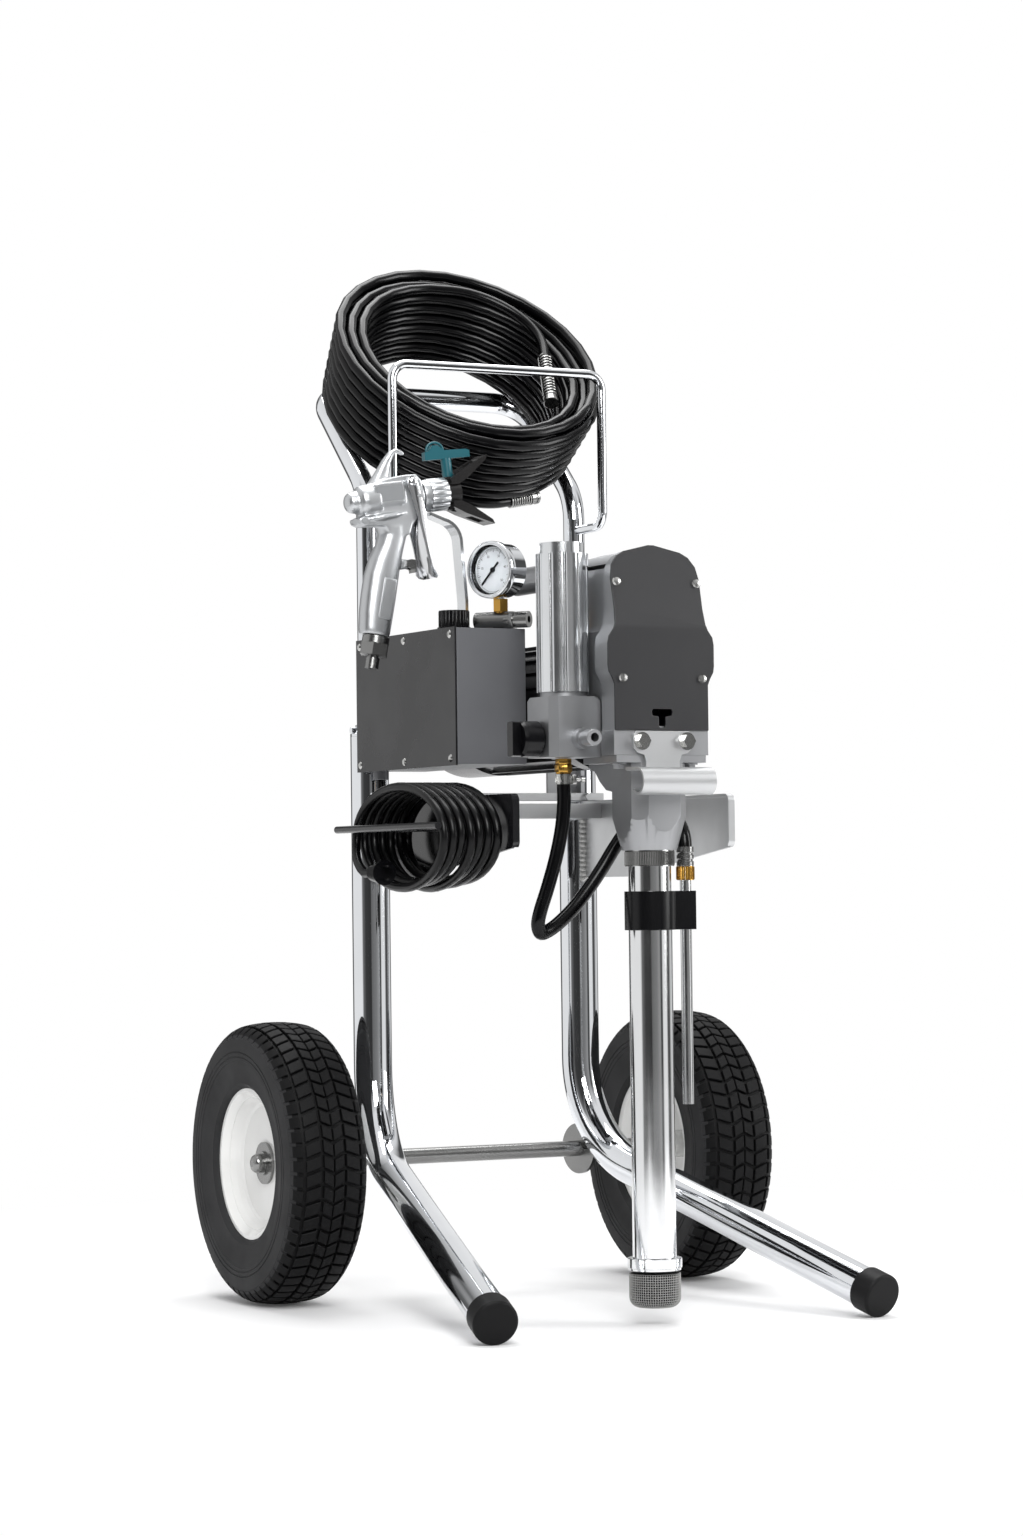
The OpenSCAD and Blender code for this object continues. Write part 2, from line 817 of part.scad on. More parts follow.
function cover_half(g) = [[49.5 - g, cover_z], [49.5 - g, 600], [52 - g, 606], [55.5 - g, 612],
    [56.3 - g, 618], [56.3 - g, 638], [55 - g, 645], [50 - g, 652], [48 - g, 657], [46.8 - g, 672],
    [47 - g, 700 - g / 2], [44.5 - g, 712 - g], [38 - g, 721 - g], [30 - g, 725.5 - g],
    [3, cover_top_z - g]];
function cover_outline(g) = [each cover_half(g),
    each [for (i = [len(cover_half(g)) - 1:-1:0]) [-cover_half(g)[i][0], cover_half(g)[i][1]]]];
lean_run = (cover_top_z + 4 - crease_z) * tan(cover_lean);

// Everything behind the leaning front face, between y0 and y1.
module behind_front(shift, y1) {
    rotate([90, 0, 90])
        linear_extrude(200, center = true)
            polygon([[housing_y + shift, block_z - 1], [housing_y + shift, crease_z],
                [housing_y + shift + lean_run, cover_top_z + 4], [y1, cover_top_z + 4], [y1, block_z - 1]]);
}

module front_cover() {
    color(DARK)
        difference() {
            intersection() {
                translate([0, housing_y + 40, 0])
                    along_y()
                        linear_extrude(80)
                            polygon(cover_outline(-0.6));
                behind_front(-cover_t, housing_y + 40);
            }
            behind_front(0.001, housing_y + 60);
            translate([0, housing_y + 20, 571])
                along_y()
                    linear_extrude(60)
                        polygon([[-11, 3], [-10, 6], [10, 6], [11, 3], [10, 0], [3.5, -1], [3.5, -9],
                            [2, -11.5], [-2, -11.5], [-3.5, -9], [-3.5, -1], [-10, 0]]);
        }
}

cover_screw_at = [[-42.3, 696.5], [43.4, 696.5], [-41.6, 606], [43.4, 606]];
hook_bolt_x = [-22.4, 25.6];
module front_screws() {
    color(CHROME)
        for (x = hook_bolt_x)
            translate([x, housing_y - 2.8, 547])
                along_y() {
                    cylinder(r = 8.4, h = 1.6);
                    translate([0, 0, 1.6])
                        hex(6.6, 5);
                    translate([0, 0, -2.5])
                        cylinder(r = 3.5, h = 2.6);
                }
    color(CHROME)
        for (p = cover_screw_at) {
            lean = p[1] > crease_z ? cover_lean : 0;
            back = max(0, (p[1] - crease_z) * tan(cover_lean));
            translate([p[0], housing_y + back - cover_t / cos(lean) - 0.05, p[1]])
                rotate([90 - lean, 0, 0])
                    rotate_extrude()
                        polygon([[0, 0], [4.4, 0], [4.4, 0.9], [3.6, 2.4], [0, 3]]);
        }
}

module drive_housing() {
    color(CAST)
        difference() {
            union() {
                intersection() {
                    union() {
                        translate([0, housing_y + 25, 0])
                            along_y()
                                linear_extrude(40)
                                    polygon(cover_outline(0));
                        translate([0, housing_rear_y, 0])
                            along_y()
                                linear_extrude(120)
                                    intersection() {
                                        polygon(cover_outline(2));
                                        translate([-housing_hw, 0])
                                            square([2 * housing_hw, 1000]);
                                    }
                    }
                    behind_front(0, housing_rear_y - 0.1);
                }
                box3([-50.5, housing_y - 0.2, block_z], [50.5, housing_y + 25, cover_z + 0.1]);
                box3([-48.6, housing_y + 24, block_z], [50.5, housing_rear_y + 25, cover_z + 0.1]);
                translate([-30, -160, 713])
                    along_y()
                        cylinder(r = 13.3, h = -150 - housing_rear_y);
            }
            intersection() {
                translate([0, housing_rear_y - 6, 0])
                    along_y()
                        linear_extrude(200)
                            polygon([[-42, cover_z + 4], [42, cover_z + 4], [42, 715], [-42, 715]]);
                box3([-60, housing_y - 10, 0], [60, housing_rear_y - 6, 900]);
            }
            translate([0, housing_rear_y + 40, motor_z])
                along_y()
                    cylinder(r = 11.2, h = 60);
            translate([0, housing_rear_y + 60, motor_z])
                along_y()
                    cylinder(r = motor_r + 2.6, h = 60);
            translate([0, housing_rear_y - 10, crank_z])
                rotate([-90, 0, 0])
                    cylinder(r = 6.05, h = 8);
            translate([0, pump_y, block_z - 5])
                cylinder(r = piston_r + 0.5, h = 60);
        }
}

module crank_gear() {
    color(STEEL)
        translate([0, housing_rear_y - 8, crank_z])
            along_y() {
                translate([0, 0, -6])
                    cylinder(r = 6, h = 16);
                translate([0, 0, 4])
                    cylinder(r = gear_r, h = 12);
                translate([0, 0, 16])
                    cylinder(r = 24, h = 44);
                translate([0, -crank_r, 59])
                    cylinder(r = 6, h = 3.4);
            }
}

module piston_rod() {
    color(STEEL) {
        translate([0, pump_y, 0])
            difference() {
                union() {
                    translate([0, 0, 400])
                        cylinder(r = piston_r - 0.06, h = 22);
                    translate([0, 0, 421])
                        cylinder(r = 9, h = 150);
                    box3([-9, -6, 566], [9, 8, 600]);
                    translate([0, 8, crank_z - crank_r])
                        along_y()
                            cylinder(r = 13, h = 14);
                }
                translate([0, 9, crank_z - crank_r])
                    along_y()
                        cylinder(r = 6.2, h = 16);
            }
    }
}

// ---- Pump -------------------------------------------------------------------

module pump_yoke() {
    c = 12;
    hx = 29;
    hy = 31;
    color(CAST)
        translate([0, pump_y, 0])
            difference() {
                union() {
                    intersection() {
                        translate([0, 0, yoke_z])
                            linear_extrude(block_z - yoke_z - 0.1)
                                polygon([[-hx, -hy + c], [-hx + c, -hy], [hx - c, -hy], [hx, -hy + c],
                                    [hx, hy - c], [hx - c, hy], [-hx + c, hy], [-hx, hy - c]]);
                        union() {
                            translate([0, 0, yoke_z])
                                cylinder(r1 = 26, r2 = 40, h = 50);
                            translate([0, 0, yoke_z + 50])
                                cylinder(r = 60, h = 60);
                        }
                    }
                    box3([-48, -26, block_z - 7], [48, 40, block_z - 0.1]);
                    rotate([90, 0, 90])
                        translate([0, 0, -22])
                            linear_extrude(44)
                                polygon([[25, block_z - 0.1], [25, yoke_z + 55], [44, yoke_z + 58],
                                    [56, yoke_z + 66], [66, yoke_z + 76], [104, block_z - 0.1]]);
                }
                translate([0, housing_rear_y + 60 - pump_y, motor_z])
                    along_y()
                        cylinder(r = motor_r + 2.6, h = 60.2);
                box3([-60, -40, 518.6], [60, -26, block_z]);
                translate([0, 0, yoke_z - 1])
                    cylinder(r = cylinder_r + 0.02, h = 74);
                translate([0, 0, yoke_z + 60])
                    cylinder(r = piston_r + 0.4, h = 60);
            }
    color(STEEL)
        for (x = [-38, 38])
            translate([x, pump_y - 12, block_z - 12.5]) {
                hex(6, 5);
                translate([0, 0, 4])
                    cylinder(r = 7.6, h = 1.4);
            }
}

module pump_cylinder() {
    color(CHROME)
        translate([0, pump_y, 0])
            difference() {
                translate([0, 0, 370])
                    cylinder(r = cylinder_r, h = yoke_z + 72 - 370);
                translate([0, 0, 360])
                    cylinder(r = piston_r, h = 200);
            }
    color(STEEL)
        translate([0, pump_y, 0])
            difference() {
                translate([0, 0, 430])
                    cylinder(r = 23.2, h = 14.8);
                translate([0, 0, 420])
                    cylinder(r = cylinder_r + 0.01, h = 40);
            }
}

module siphon_tube() {
    color(CHROME)
        translate([0, pump_y, 0])
            difference() {
                translate([0, 0, siphon_z])
                    cylinder(r = siphon_r, h = 369.8 - siphon_z);
                translate([0, 0, siphon_z - 1])
                    cylinder(r = siphon_r - siphon_wall, h = 400);
            }
}

module strainer() {
    color(STEEL)
        translate([0, pump_y, 0]) {
            difference() {
                translate([0, 0, siphon_z - 11.5])
                    cylinder(r = strainer_d / 2 + 1.8, h = 12);
                translate([0, 0, siphon_z - 8])
                    cylinder(r = siphon_r + 0.05, h = 12);
                translate([0, 0, siphon_z - 20])
                    cylinder(r = siphon_r - siphon_wall, h = 40);
            }
            difference() {
                rotate_extrude()
                    polygon([[0, 16.5], [strainer_d / 2 - 9, 16.5],
                        each arc(strainer_d / 2 - 9, 25.5, 9, 270, 360, 6), [strainer_d / 2, siphon_z - 11.6],
                        [0, siphon_z - 11.6]]);
                translate([0, 0, 20])
                    cylinder(r = strainer_d / 2 - 4, h = 60);
            }
        }
}

module tube_clip() {
    color(BLACK)
        translate([0, pump_y, 370])
            difference() {
                union() {
                    cylinder(r = siphon_r + 3.6, h = 36.5);
                    box3([15, -8.6, 0], [drain_x + 6.6, 8.6, 36.5]);
                }
                translate([0, 0, -1])
                    cylinder(r = cylinder_r + 0.05, h = 50);
                translate([drain_x, 0, -1])
                    cylinder(r = drain_d / 2 + 0.05, h = 50);
            }
}

// The steel drain tube with its brass nut and the hose's ribbed ferrule.
module drain_tube() {
    translate([drain_x, pump_y, 0]) {
        color(STEEL)
            difference() {
                translate([0, 0, 205])
                    cylinder(r = drain_d / 2, h = 226);
                translate([0, 0, 204])
                    cylinder(r = drain_d / 2 - 1, h = 240);
            }
        color(BRASS)
            difference() {
                translate([0, 0, 416.5])
                    hex(8.4, 13.4);
                translate([0, 0, 410])
                    cylinder(r = drain_d / 2 + 0.02, h = 30);
            }
        color(STEEL)
            difference() {
                rotate_extrude()
                    polygon([[5.5, 430], [8, 430], [8, 434], [7.1, 435], [7.1, 436], [8, 437], [8, 440],
                        [7.1, 441], [7.1, 442], [8, 443], [8, 448], [5.5, 448]]);
                cylinder(r = 3, h = 10);
            }
    }
}

drain_route = [[filter_x - 1, filter_y, 519], [filter_x - 1, filter_y, 506], [-75, filter_y, 492],
    [-77, -339, 468], [-83, -338, 440], [-91, -336, 412], [-98, -334, 390], [-100, -332, 377],
    [-96, -329, 368.5], [-87, -326, 370], [-74, -323, 377], [-56, -320, 391], [-38, -318, 410],
    [-22, -317, 430], [-8, -316, 449], [6, -317, 467], [18, -321, 480], [28, -331, 486.5],
    [34.5, -344, 483], [37.6, -357, 473], [38.6, -366, 461], [drain_x, pump_y, 449],
    [drain_x, pump_y, 436]];
module drain_hose() {
    color(BLACK)
        tube_along(drain_route, drain_hose_d / 2 - 1.2, 10, [1, 0, 0]);
}

// The brass fitting under the manifold, with the band clamp round the hose.
module drain_barb() {
    translate([filter_x - 1, filter_y, 0]) {
        color(BRASS) {
            translate([0, 0, 519.2])
                hex(8.4, 7.4);
            translate([0, 0, 526.4])
                cylinder(r = 6.6, h = 6.3);
        }
        color(CHROME) {
            difference() {
                translate([0, 0, 508])
                    cylinder(r = drain_hose_d / 2 + 0.9, h = 9.6);
                translate([0, 0, 500])
                    cylinder(r = drain_hose_d / 2 - 0.9, h = 30);
            }
            box3([6.8, -3.5, 509], [13, 3.5, 516.6]);
            bar([10, -3, 512.8], [20, -6, 512.8], 2.6);
        }
    }
}

module pail_hook() {
    y = housing_y - 0.3;
    t = 2.5;
    cy = y - 23;
    cz = 509;
    ro = 13;
    color(CAST) {
        difference() {
            translate([0, y, 0])
                along_y()
                    linear_extrude(t)
                        polygon([[-31, 540], [-31, 553], [-28, 556.5], [28, 556.5], [31, 553], [31, 540],
                            [27, 536], [20, 534], [18, 528], [18, 520], [-18, 520], [-18, 528],
                            [-20, 534], [-27, 536]]);
            for (x = hook_bolt_x)
                translate([x, y + 5, 547])
                    along_y()
                        cylinder(r = 3.6, h = 20);
        }
        rotate([90, 0, 90])
            translate([0, 0, -39])
                linear_extrude(78)
                    polygon([[y, 520], [y, 522.6], [y - 4, cz + ro + 0.4], [cy, cz + ro],
                        each arc(cy, cz, ro, 90, 318, 14), each arc(cy, cz, ro - t, 318, 90, 14),
                        [y - 3, cz + ro - t], [y - t, 519]]);
    }
}

// ---- Manifold ---------------------------------------------------------------

manifold_x0 = filter_x - 26;
manifold_x1 = -housing_hw - 0.2;
manifold_y0 = filter_y - 26;
manifold_y1 = filter_y + 24;
nipple_x = filter_x + 4.2;
module manifold() {
    color(CAST)
        difference() {
            intersection() {
                box3([manifold_x0, manifold_y0, 533], [manifold_x1, manifold_y1, 590]);
                translate([filter_x, filter_y, 500])
                    cylinder(r1 = 122, r2 = 25, h = 97);
                translate([0, 0, 500])
                    linear_extrude(120)
                        polygon([[manifold_x0 + 7, manifold_y0], [manifold_x1, manifold_y0],
                            [manifold_x1, manifold_y1], [manifold_x0, manifold_y1],
                            [manifold_x0, manifold_y0 + 7]]);
            }
            translate([filter_x, filter_y, 545])
                cylinder(r = 13, h = 60);
            translate([nipple_x, manifold_y0 + 20, valve_z])
                along_y()
                    cylinder(r = 6.05, h = 40);
            translate([manifold_x0 - 5, filter_y, valve_z])
                along_x()
                    cylinder(r = 5.05, h = 25);
            translate([filter_x - 1, filter_y, 525])
                cylinder(r = 6.62, h = 9);
        }
    color(STEEL)
        translate([nipple_x, manifold_y0, valve_z])
            along_y()
                difference() {
                    union() {
                        translate([0, 0, -12])
                            cylinder(r = 6, h = 12.1);
                        cylinder(r = 9.8, h = 9.6);
                        cylinder(r = 6.9, h = 14);
                        translate([0, 0, 14])
                            cylinder(r = 7.95, h = 13);
                        translate([0, 0, 27])
                            cylinder(r1 = 7.95, r2 = 7.2, h = 0.8);
                    }
                    translate([0, 0, -13])
                        cylinder(r = 4.2, h = 60);
                }
    color(CAST)
        translate([filter_x, filter_y, 590.1])
            difference() {
                cylinder(r = 22, h = 4.3);
                translate([0, 0, -1])
                    cylinder(r = 13, h = 8);
            }
}

module filter_tube() {
    color(CHROME)
        translate([filter_x, filter_y, filter_z])
            difference() {
                union() {
                    cylinder(r = filter_r, h = filter_h);
                    cylinder(r = 21, h = filter_h + 10.5);
                }
                for (k = [0:11])
                    rotate([0, 0, k * 30 + 8])
                        translate([filter_r + 2.1, 0, -1])
                            cylinder(r = 3.2, h = filter_h + 2, $fn = 20);
                translate([0, 0, -1])
                    cylinder(r = 17, h = filter_h - 8);
            }
}

module filter_element() {
    color(STEEL)
        translate([filter_x, filter_y, 0])
            difference() {
                union() {
                    translate([0, 0, filter_z + 1])
                        cylinder(r = 12, h = filter_h - 10.2);
                    translate([0, 0, 548])
                        cylinder(r = 8, h = 60);
                }
                translate([0, 0, 540])
                    cylinder(r = 6, h = 160);
            }
}

module prime_valve() {
    color(BLACK)
        translate([manifold_x0 - 0.3, filter_y, valve_z])
            rotate([0, -90, 0]) {
                cylinder(r = 5, h = 2);
                rotate_extrude()
                    polygon([[0, 0], [14, 0], [17, 3], [17, 19], [15, 22], [0, 22]]);
            }
    color(BLACK)
        translate([manifold_x0 + 14, filter_y, valve_z])
            rotate([0, -90, 0])
                cylinder(r = 5, h = 14.5);
    color(STEEL)
        translate([manifold_x0 - 31, filter_y, valve_z])
            intersection() {
                box3([0, -5.5, -16.5], [9, 5.5, 16.5]);
                along_x()
                    cylinder(r = 16.5, h = 9);
            }
}

// ---- Spray gun --------------------------------------------------------------

// The gun's own frame: x along the barrel, z up, at the barrel's rear end.
module gun_place() {
    translate([gun_x, gun_y, gun_z])
        rotate([0, -gun_tilt, 0])
            children();
}

module gun_slab(w, points) {
    translate([0, w / 2, 0])
        along_y()
            linear_extrude(w)
                polygon(points);
}

module gun_body() {
    color(CAST)
        gun_place()
            difference() {
                union() {
                    translate([-15, 0, 0])
                        along_x()
                            rotate_extrude()
                                polygon([[0, 0], [5, 0.4], [9, 2], [11, 5], [11.6, 12], [15.6, 13],
                                    [15.6, 27], [0, 27]]);
                    translate([11, 0, 0])
                        along_x()
                            cylinder(r = 16.5, h = 22);
                    gun_slab(gun_w, [[12, -16], [12, 15], [30, 20], [57, 21], [62.5, 14], [62.5, -14],
                        [56, -19], [46, -34], [24, -38], [16, -24], [-2, -24], [-3, -18]]);
                    translate([53, 0, 0])
                        along_x() {
                            cylinder(r = 15, h = 9.5);
                            cylinder(r = 12, h = 24);
                        }
                    gun_slab(9, [[14, 12], [20, 18], [27, 33], [35, 44], [42, 48], [49, 44], [50, 41],
                        [43, 43.5], [38, 40], [34, 31], [34, 18]]);
                    translate([28, 0, -34])
                        rotate([0, 180 + grip_rake, 0])
                            translate([0, 0, -3])
                                cylinder(r1 = 14, r2 = 13, h = 104);
                    gun_slab(8, [[26, -59], each arc(lock_at[0], lock_at[1], 4.6, 90, -90, 8), [26, -69]]);
                }
                translate([lock_at[0], 0, lock_at[1]])
                    along_y()
                        cylinder(r = 2.55, h = 20, center = true);
                translate([10, 0, 0])
                    along_x()
                        cylinder(r = 6, h = 100);
                translate([28, 0, -34])
                    rotate([0, 180 + grip_rake, 0])
                        translate([0, 0, 10])
                            cylinder(r = 8, h = 120);
                translate([trigger_pivot[0], 0, trigger_pivot[1]])
                    along_y()
                        cylinder(r = 3.05, h = 60, center = true);
                for (s = [-1, 1])
                    translate([0, s * (gun_w / 2 - 1.2 + 5), 0])
                        translate([42, -5, -60])
                            cube([22, 10, 100]);
            }
}

module gun_nut() {
    color(STEEL)
        gun_place()
            translate([63, 0, 0])
                along_x()
                    difference() {
                        union() {
                            cylinder(r = 13.5, h = 6);
                            translate([0, 0, 5])
                                cylinder(r = gun_nut_d / 2, h = 22.5);
                        }
                        for (k = [0:11])
                            rotate([0, 0, k * 30])
                                translate([gun_nut_d / 2 + 1.6, 0, 8])
                                    cylinder(r = 2.6, h = 30, $fn = 16);
                        translate([0, 0, -1])
                            cylinder(r = 12.02, h = 15.2);
                        translate([0, 0, 10])
                            cylinder(r = 10, h = 30);
                    }
}

trigger_pivot = [50.5, 14];
lock_at = [40, -64];
module gun_trigger() {
    w = gun_w + 1.2;
    color(CHROME)
        gun_place() {
            difference() {
                gun_slab(w, [[45.5, 17], [50, 20.5], [56, 18], [57.5, 5], [60, -8], [64.8, -21], [63, -34],
                    [61.6, -48], [63, -66], [67.3, -79], [62, -82], [54.3, -77], [57, -60], [56, -49],
                    [52.5, -21], [49.5, -3], [46, 9]]);
                gun_slab(w - 3.2, [[0, 40], [100, 40], [100, -23], [62.2, -25], [60.3, -36], [58.9, -48],
                    [60.4, -66], [62.5, -76], [50, -78], [0, -100]]);
            }
            translate([trigger_pivot[0], 0, trigger_pivot[1]])
                along_y()
                    translate([0, 0, -w / 2 - 1])
                        cylinder(r = 3, h = w + 2);
        }
}

module trigger_lock() {
    color(STEEL)
        gun_place()
            translate([lock_at[0], 0, lock_at[1]]) {
                along_y()
                    cylinder(r = 2.5, h = 14, center = true);
                difference() {
                    gun_slab(14, [[-3.6, -2], [-2, 3.4], [3, 4], [7, 3], [7.5, -2], [7, -9], [5, -9.4],
                        [4.9, -6], [0, -4]]);
                    gun_slab(8.3, [[-12, -12], [-12, 12], [5.1, 12], [5.1, -12]]);
                }
            }
}

module tip_guard() {
    color(DARK)
        gun_place()
            difference() {
                union() {
                    translate([81, 0, 0])
                        along_x()
                            cylinder(r = 9.94, h = 12);
                    translate([90.7, 0, 0])
                        along_x()
                            cylinder(r = 13, h = 12.8);
                    translate([91, -7, -16])
                        cube([12, 14, 32]);
                    for (s = [-1, 1])
                        mirror([0, 0, s < 0 ? 1 : 0])
                            gun_slab(26, [[93, 8], [101, 8], [111, 13], [133, 29.5], [135, 34],
                                [121, 28], [105, 21], [93, 14]]);
                }
                translate([70, 0, 0])
                    along_x()
                        cylinder(r = 4, h = 50);
                translate([96, 0, -30])
                    cylinder(r = 4.56, h = 60);
                translate([96, 0, 16])
                    cylinder(r = 6, h = 30);
                for (s = [-1, 1])
                    mirror([0, 0, s < 0 ? 1 : 0])
                        translate([113, -7, 10])
                            cube([14, 14, 30]);
            }
}

module tip_key() {
    color(TEAL)
        gun_place() {
            translate([96, 0, -14])
                cylinder(r = 4.5, h = 31);
            translate([96, 0, 16.2])
                cylinder(r = 5.2, h = 18.4);
            gun_slab(7, [[72, 34], [72.5, 42], [77, 42.5], [82, 48], [87, 48], [94, 42.5], [117, 42],
                [121, 40.5], [121, 34]]);
        }
}

module gun_swivel() {
    color(STEEL)
        gun_place()
            translate([28, 0, -34])
                rotate([0, 180 + grip_rake, 0]) {
                    difference() {
                        union() {
                            translate([0, 0, 90])
                                cylinder(r = 7.9, h = 14);
                            translate([0, 0, 101.3])
                                cylinder(r = 13.2, h = 7);
                            translate([0, 0, 108])
                                hex(14.4, 12);
                            translate([0, 0, 120])
                                cylinder(r = 5.2, h = 2.6);
                            translate([0, 0, 122])
                                cylinder(r = 6.6, h = 10.5);
                        }
                        translate([0, 0, 80])
                            cylinder(r = 3.2, h = 60);
                    }
                }
}

// ---- Hoses and cord ---------------------------------------------------------

// The hose coil's own frame: z is its axis, y runs up the slope of the handle.
coil_slope = 45;
coil_centre = [0.6, 26, 934];
function tipped(p) = [p[0], p[1] * cos(coil_slope) - p[2] * sin(coil_slope),
    p[1] * sin(coil_slope) + p[2] * cos(coil_slope)];
function on_coil(p) = coil_centre + tipped(p);
coil_top = 37.4;
coil_floor = coil_top - hose_turns * hose_pitch;
coil_taper = 1.45;
layer_step = hose_pitch + 0.4;
coil_start = 292;
rings = 24;
t1 = hose_turns;
t2 = t1 + 0.5;
t3 = t2 + hose_turns;
t4 = t3 + 0.5;
hump = 0.17 * hose_pitch;
inner_low = hose_coil_r - layer_step - coil_taper * hose_turns;
loose_r = inner_low - layer_step - 2;
rise_turns = 0.5;
function coil_r(t) = t < t1 ? hose_coil_r - coil_taper * (t1 - t) :
    t < t2 ? hose_coil_r - layer_step * (t - t1) * 2 :
    t < t3 ? hose_coil_r - layer_step - coil_taper * (t - t2) :
    t < t4 ? inner_low + (loose_r - inner_low) * (t - t3) * 2 :
    loose_r + 6 * smooth(min(1, (t - t4) / rise_turns));
function coil_h(t) = t < t1 ? coil_floor + hose_pitch * t :
    t < t2 ? coil_top + hump * sin((t - t1) * 360) :
    t < t3 ? coil_top - hose_pitch * (t - t2) :
    t < t4 ? coil_floor - hump * sin((t - t3) * 360) :
    coil_floor + smooth(min(1, (t - t4) / rise_turns)) * (coil_top - coil_floor + 6);
function coil_point(t) = let (a = coil_start + 360 * t)
    on_coil([coil_r(t) * cos(a), coil_r(t) * sin(a), coil_h(t)]);
coil_points = [for (i = [0:(t4 + rise_turns) * rings]) coil_point(i / rings)];
coil_last = len(coil_points) - 1;
coil_in = unit(coil_points[1] - coil_points[0]);
tail_dir = unit([-1, 0.16, -0.28]);
tail_start = coil_points[0] - coil_in * 9 + tail_dir * 2;
tail_end = tail_start + tail_dir * 28;
head_dir = unit([-17, -46, -54]);
head_end = [88, -4, 945];
head_start = head_end - head_dir * 42;
head_in = unit(coil_points[coil_last] - coil_points[coil_last - 1]);
head_bend = bezier(coil_points[coil_last], coil_points[coil_last] + head_in * 70, head_start - head_dir * 75,
    head_start, 12);
hose_points = [tail_end, tail_end - tail_dir * hose_d, tail_start, each coil_points,
    each [for (i = [1:12]) head_bend[i]], head_end - head_dir * hose_d, head_end];
hose_least = min([for (i = [0:len(coil_points) - 1]) for (j = [i + 18:min(len(coil_points) - 1, i + 60)])
    norm(coil_points[i] - coil_points[j])]) - hose_d;
layer_least = min([for (i = [0:8:len(coil_points) - 1]) for (j = [i + 60:len(coil_points) - 1])
    norm(coil_points[i] - coil_points[j])]) - hose_d;
echo(hose_least_gap_next_turns = hose_least, hose_least_gap_layers = layer_least);

module hose_coil() {
    color(BLACK)
        tube_along(hose_points, hose_d / 2, 6, tipped([0, 0, 1]));
}

function spring_points(a, dir, r, pitch, n) = let (u = flat_to([0, 0, 1], dir), w = cross(dir, u))
    [for (i = [0:n * 8]) a + dir * (pitch * i / 8) + r * (cos(45 * i) * u + sin(45 * i) * w)];
module hose_end(a, dir, pitch) {
    color(STEEL)
        bar(a, a + dir * 11, hose_d / 2 + 2.4);
    color(CHROME)
        tube_along(spring_points(a - dir * (8 * pitch - 0.5), dir, hose_d / 2 + 1.35, pitch, 8), 0.9, 6, dir);
    color(STEEL) {
        bar(a + dir * 11, a + dir * 19, 9.4);
        bar(a + dir * 19, a + dir * 29, 8);
    }
}

module hose_ends() {
    hose_end(tail_end + tail_dir * 0.05, tail_dir, 3);
    hose_end(head_end + head_dir * 0.05, head_dir, 4.8);
}

cord_a = 92;
cord_b = 45.2;
cord_x0 = -leg_x - 6.2;
cord_y = hanger_y;
cord_z = 464;
lead_route = [[-126, -42, box_z - 1], [-126, -42, box_z - 12], [-126, -44, 503], [-126, -51, 483],
    [-126, -64, 461], [-125.8, -86, 445], [-125.4, -112, 436.5],
    [-125.3, -137, 431.6]];
cord_start = 305;
function cord_point(t) = let (a = cord_start - 360 * t)
    [cord_x0 - cord_pitch * t - 8.5 * smooth(max(0, 6 * (t - cord_turns) + 1)), cord_y + cord_a * cos(a),
    cord_z + cord_b * sin(a)];
cord_loops = [for (i = [0:cord_turns * rings]) cord_point(i / rings)];
cord_bare = cord_loops[len(cord_loops) - 1] + [0, -cord_d, 0];
cord_end = cord_bare + [0, -12, 0];
cord_in = unit(cord_loops[1] - cord_loops[0]);
cord_meet = cord_loops[0] - cord_in * cord_d;
cord_points = [cord_meet, each cord_loops, cord_bare, cord_end];
cord_least = min([for (i = [0:len(cord_loops) - 1]) for (j = [i + 16:min(len(cord_loops) - 1, i + 34)])
    norm(cord_loops[i] - cord_loops[j])]) - cord_d;
echo(cord_least_gap = cord_least);

module cord_lead() {
    color(BLACK)
        tube_along([each lead_route, cord_meet - cord_in * cord_d, cord_meet], cord_d / 2, 10, [1, 0, 0]);
}

module power_cord() {
    color(BLACK)
        tube_along(cord_points, cord_d / 2, 6, [1, 0, 0]);
}

module cord_plug() {
    d = [0, -1, 0];
    color(DARK)
        bar(cord_end + d * 0.3, cord_end + d * 24, 8, 12);
    color(STEEL)
        for (s = [-1, 1])
            translate(cord_end + d * 24)
                rotate([0, acos(d[2]), atan2(d[1], d[0])])
                    translate([s * 6.35 - 0.8, -3.2, -0.5])
                        cube([1.6, 6.4, 16]);
}

// The origin is on the floor, in the middle of the footprint.
translate([0, floor_y, 0]) {
    left_leg();
    right_leg();
    foot_caps();
    axle();
    axle_nuts();
    left_side_plate();
    right_side_plate();
    cross_rail();
    motor_bracket();
    tube_collars();
    cord_hanger();
    handle();
    hose_hoop();
    left_rim();
    left_tyre();
    right_rim();
    right_tyre();
    control_box();
    side_panel();
    box_screws();
    circuit_board();
    pressure_knob();
    sensor_bar();
    gauge_nut();
    gauge_case();
    gauge_needle();
    gauge_lens();
    gun_holder();
    motor_shell();
    motor_rotor();
    drive_housing();
    crank_gear();
    piston_rod();
    pump_yoke();
    pump_cylinder();
    siphon_tube();
    strainer();
    tube_clip();
    drain_tube();
    drain_hose();
    drain_barb();
    front_cover();
    front_screws();
    pail_hook();
    manifold();
    filter_tube();
    filter_element();
    prime_valve();
    gun_body();
    gun_nut();
    gun_trigger();
    trigger_lock();
    tip_guard();
    tip_key();
    gun_swivel();
    hose_coil();
    hose_ends();
    cord_lead();
    power_cord();
    cord_plug();
}
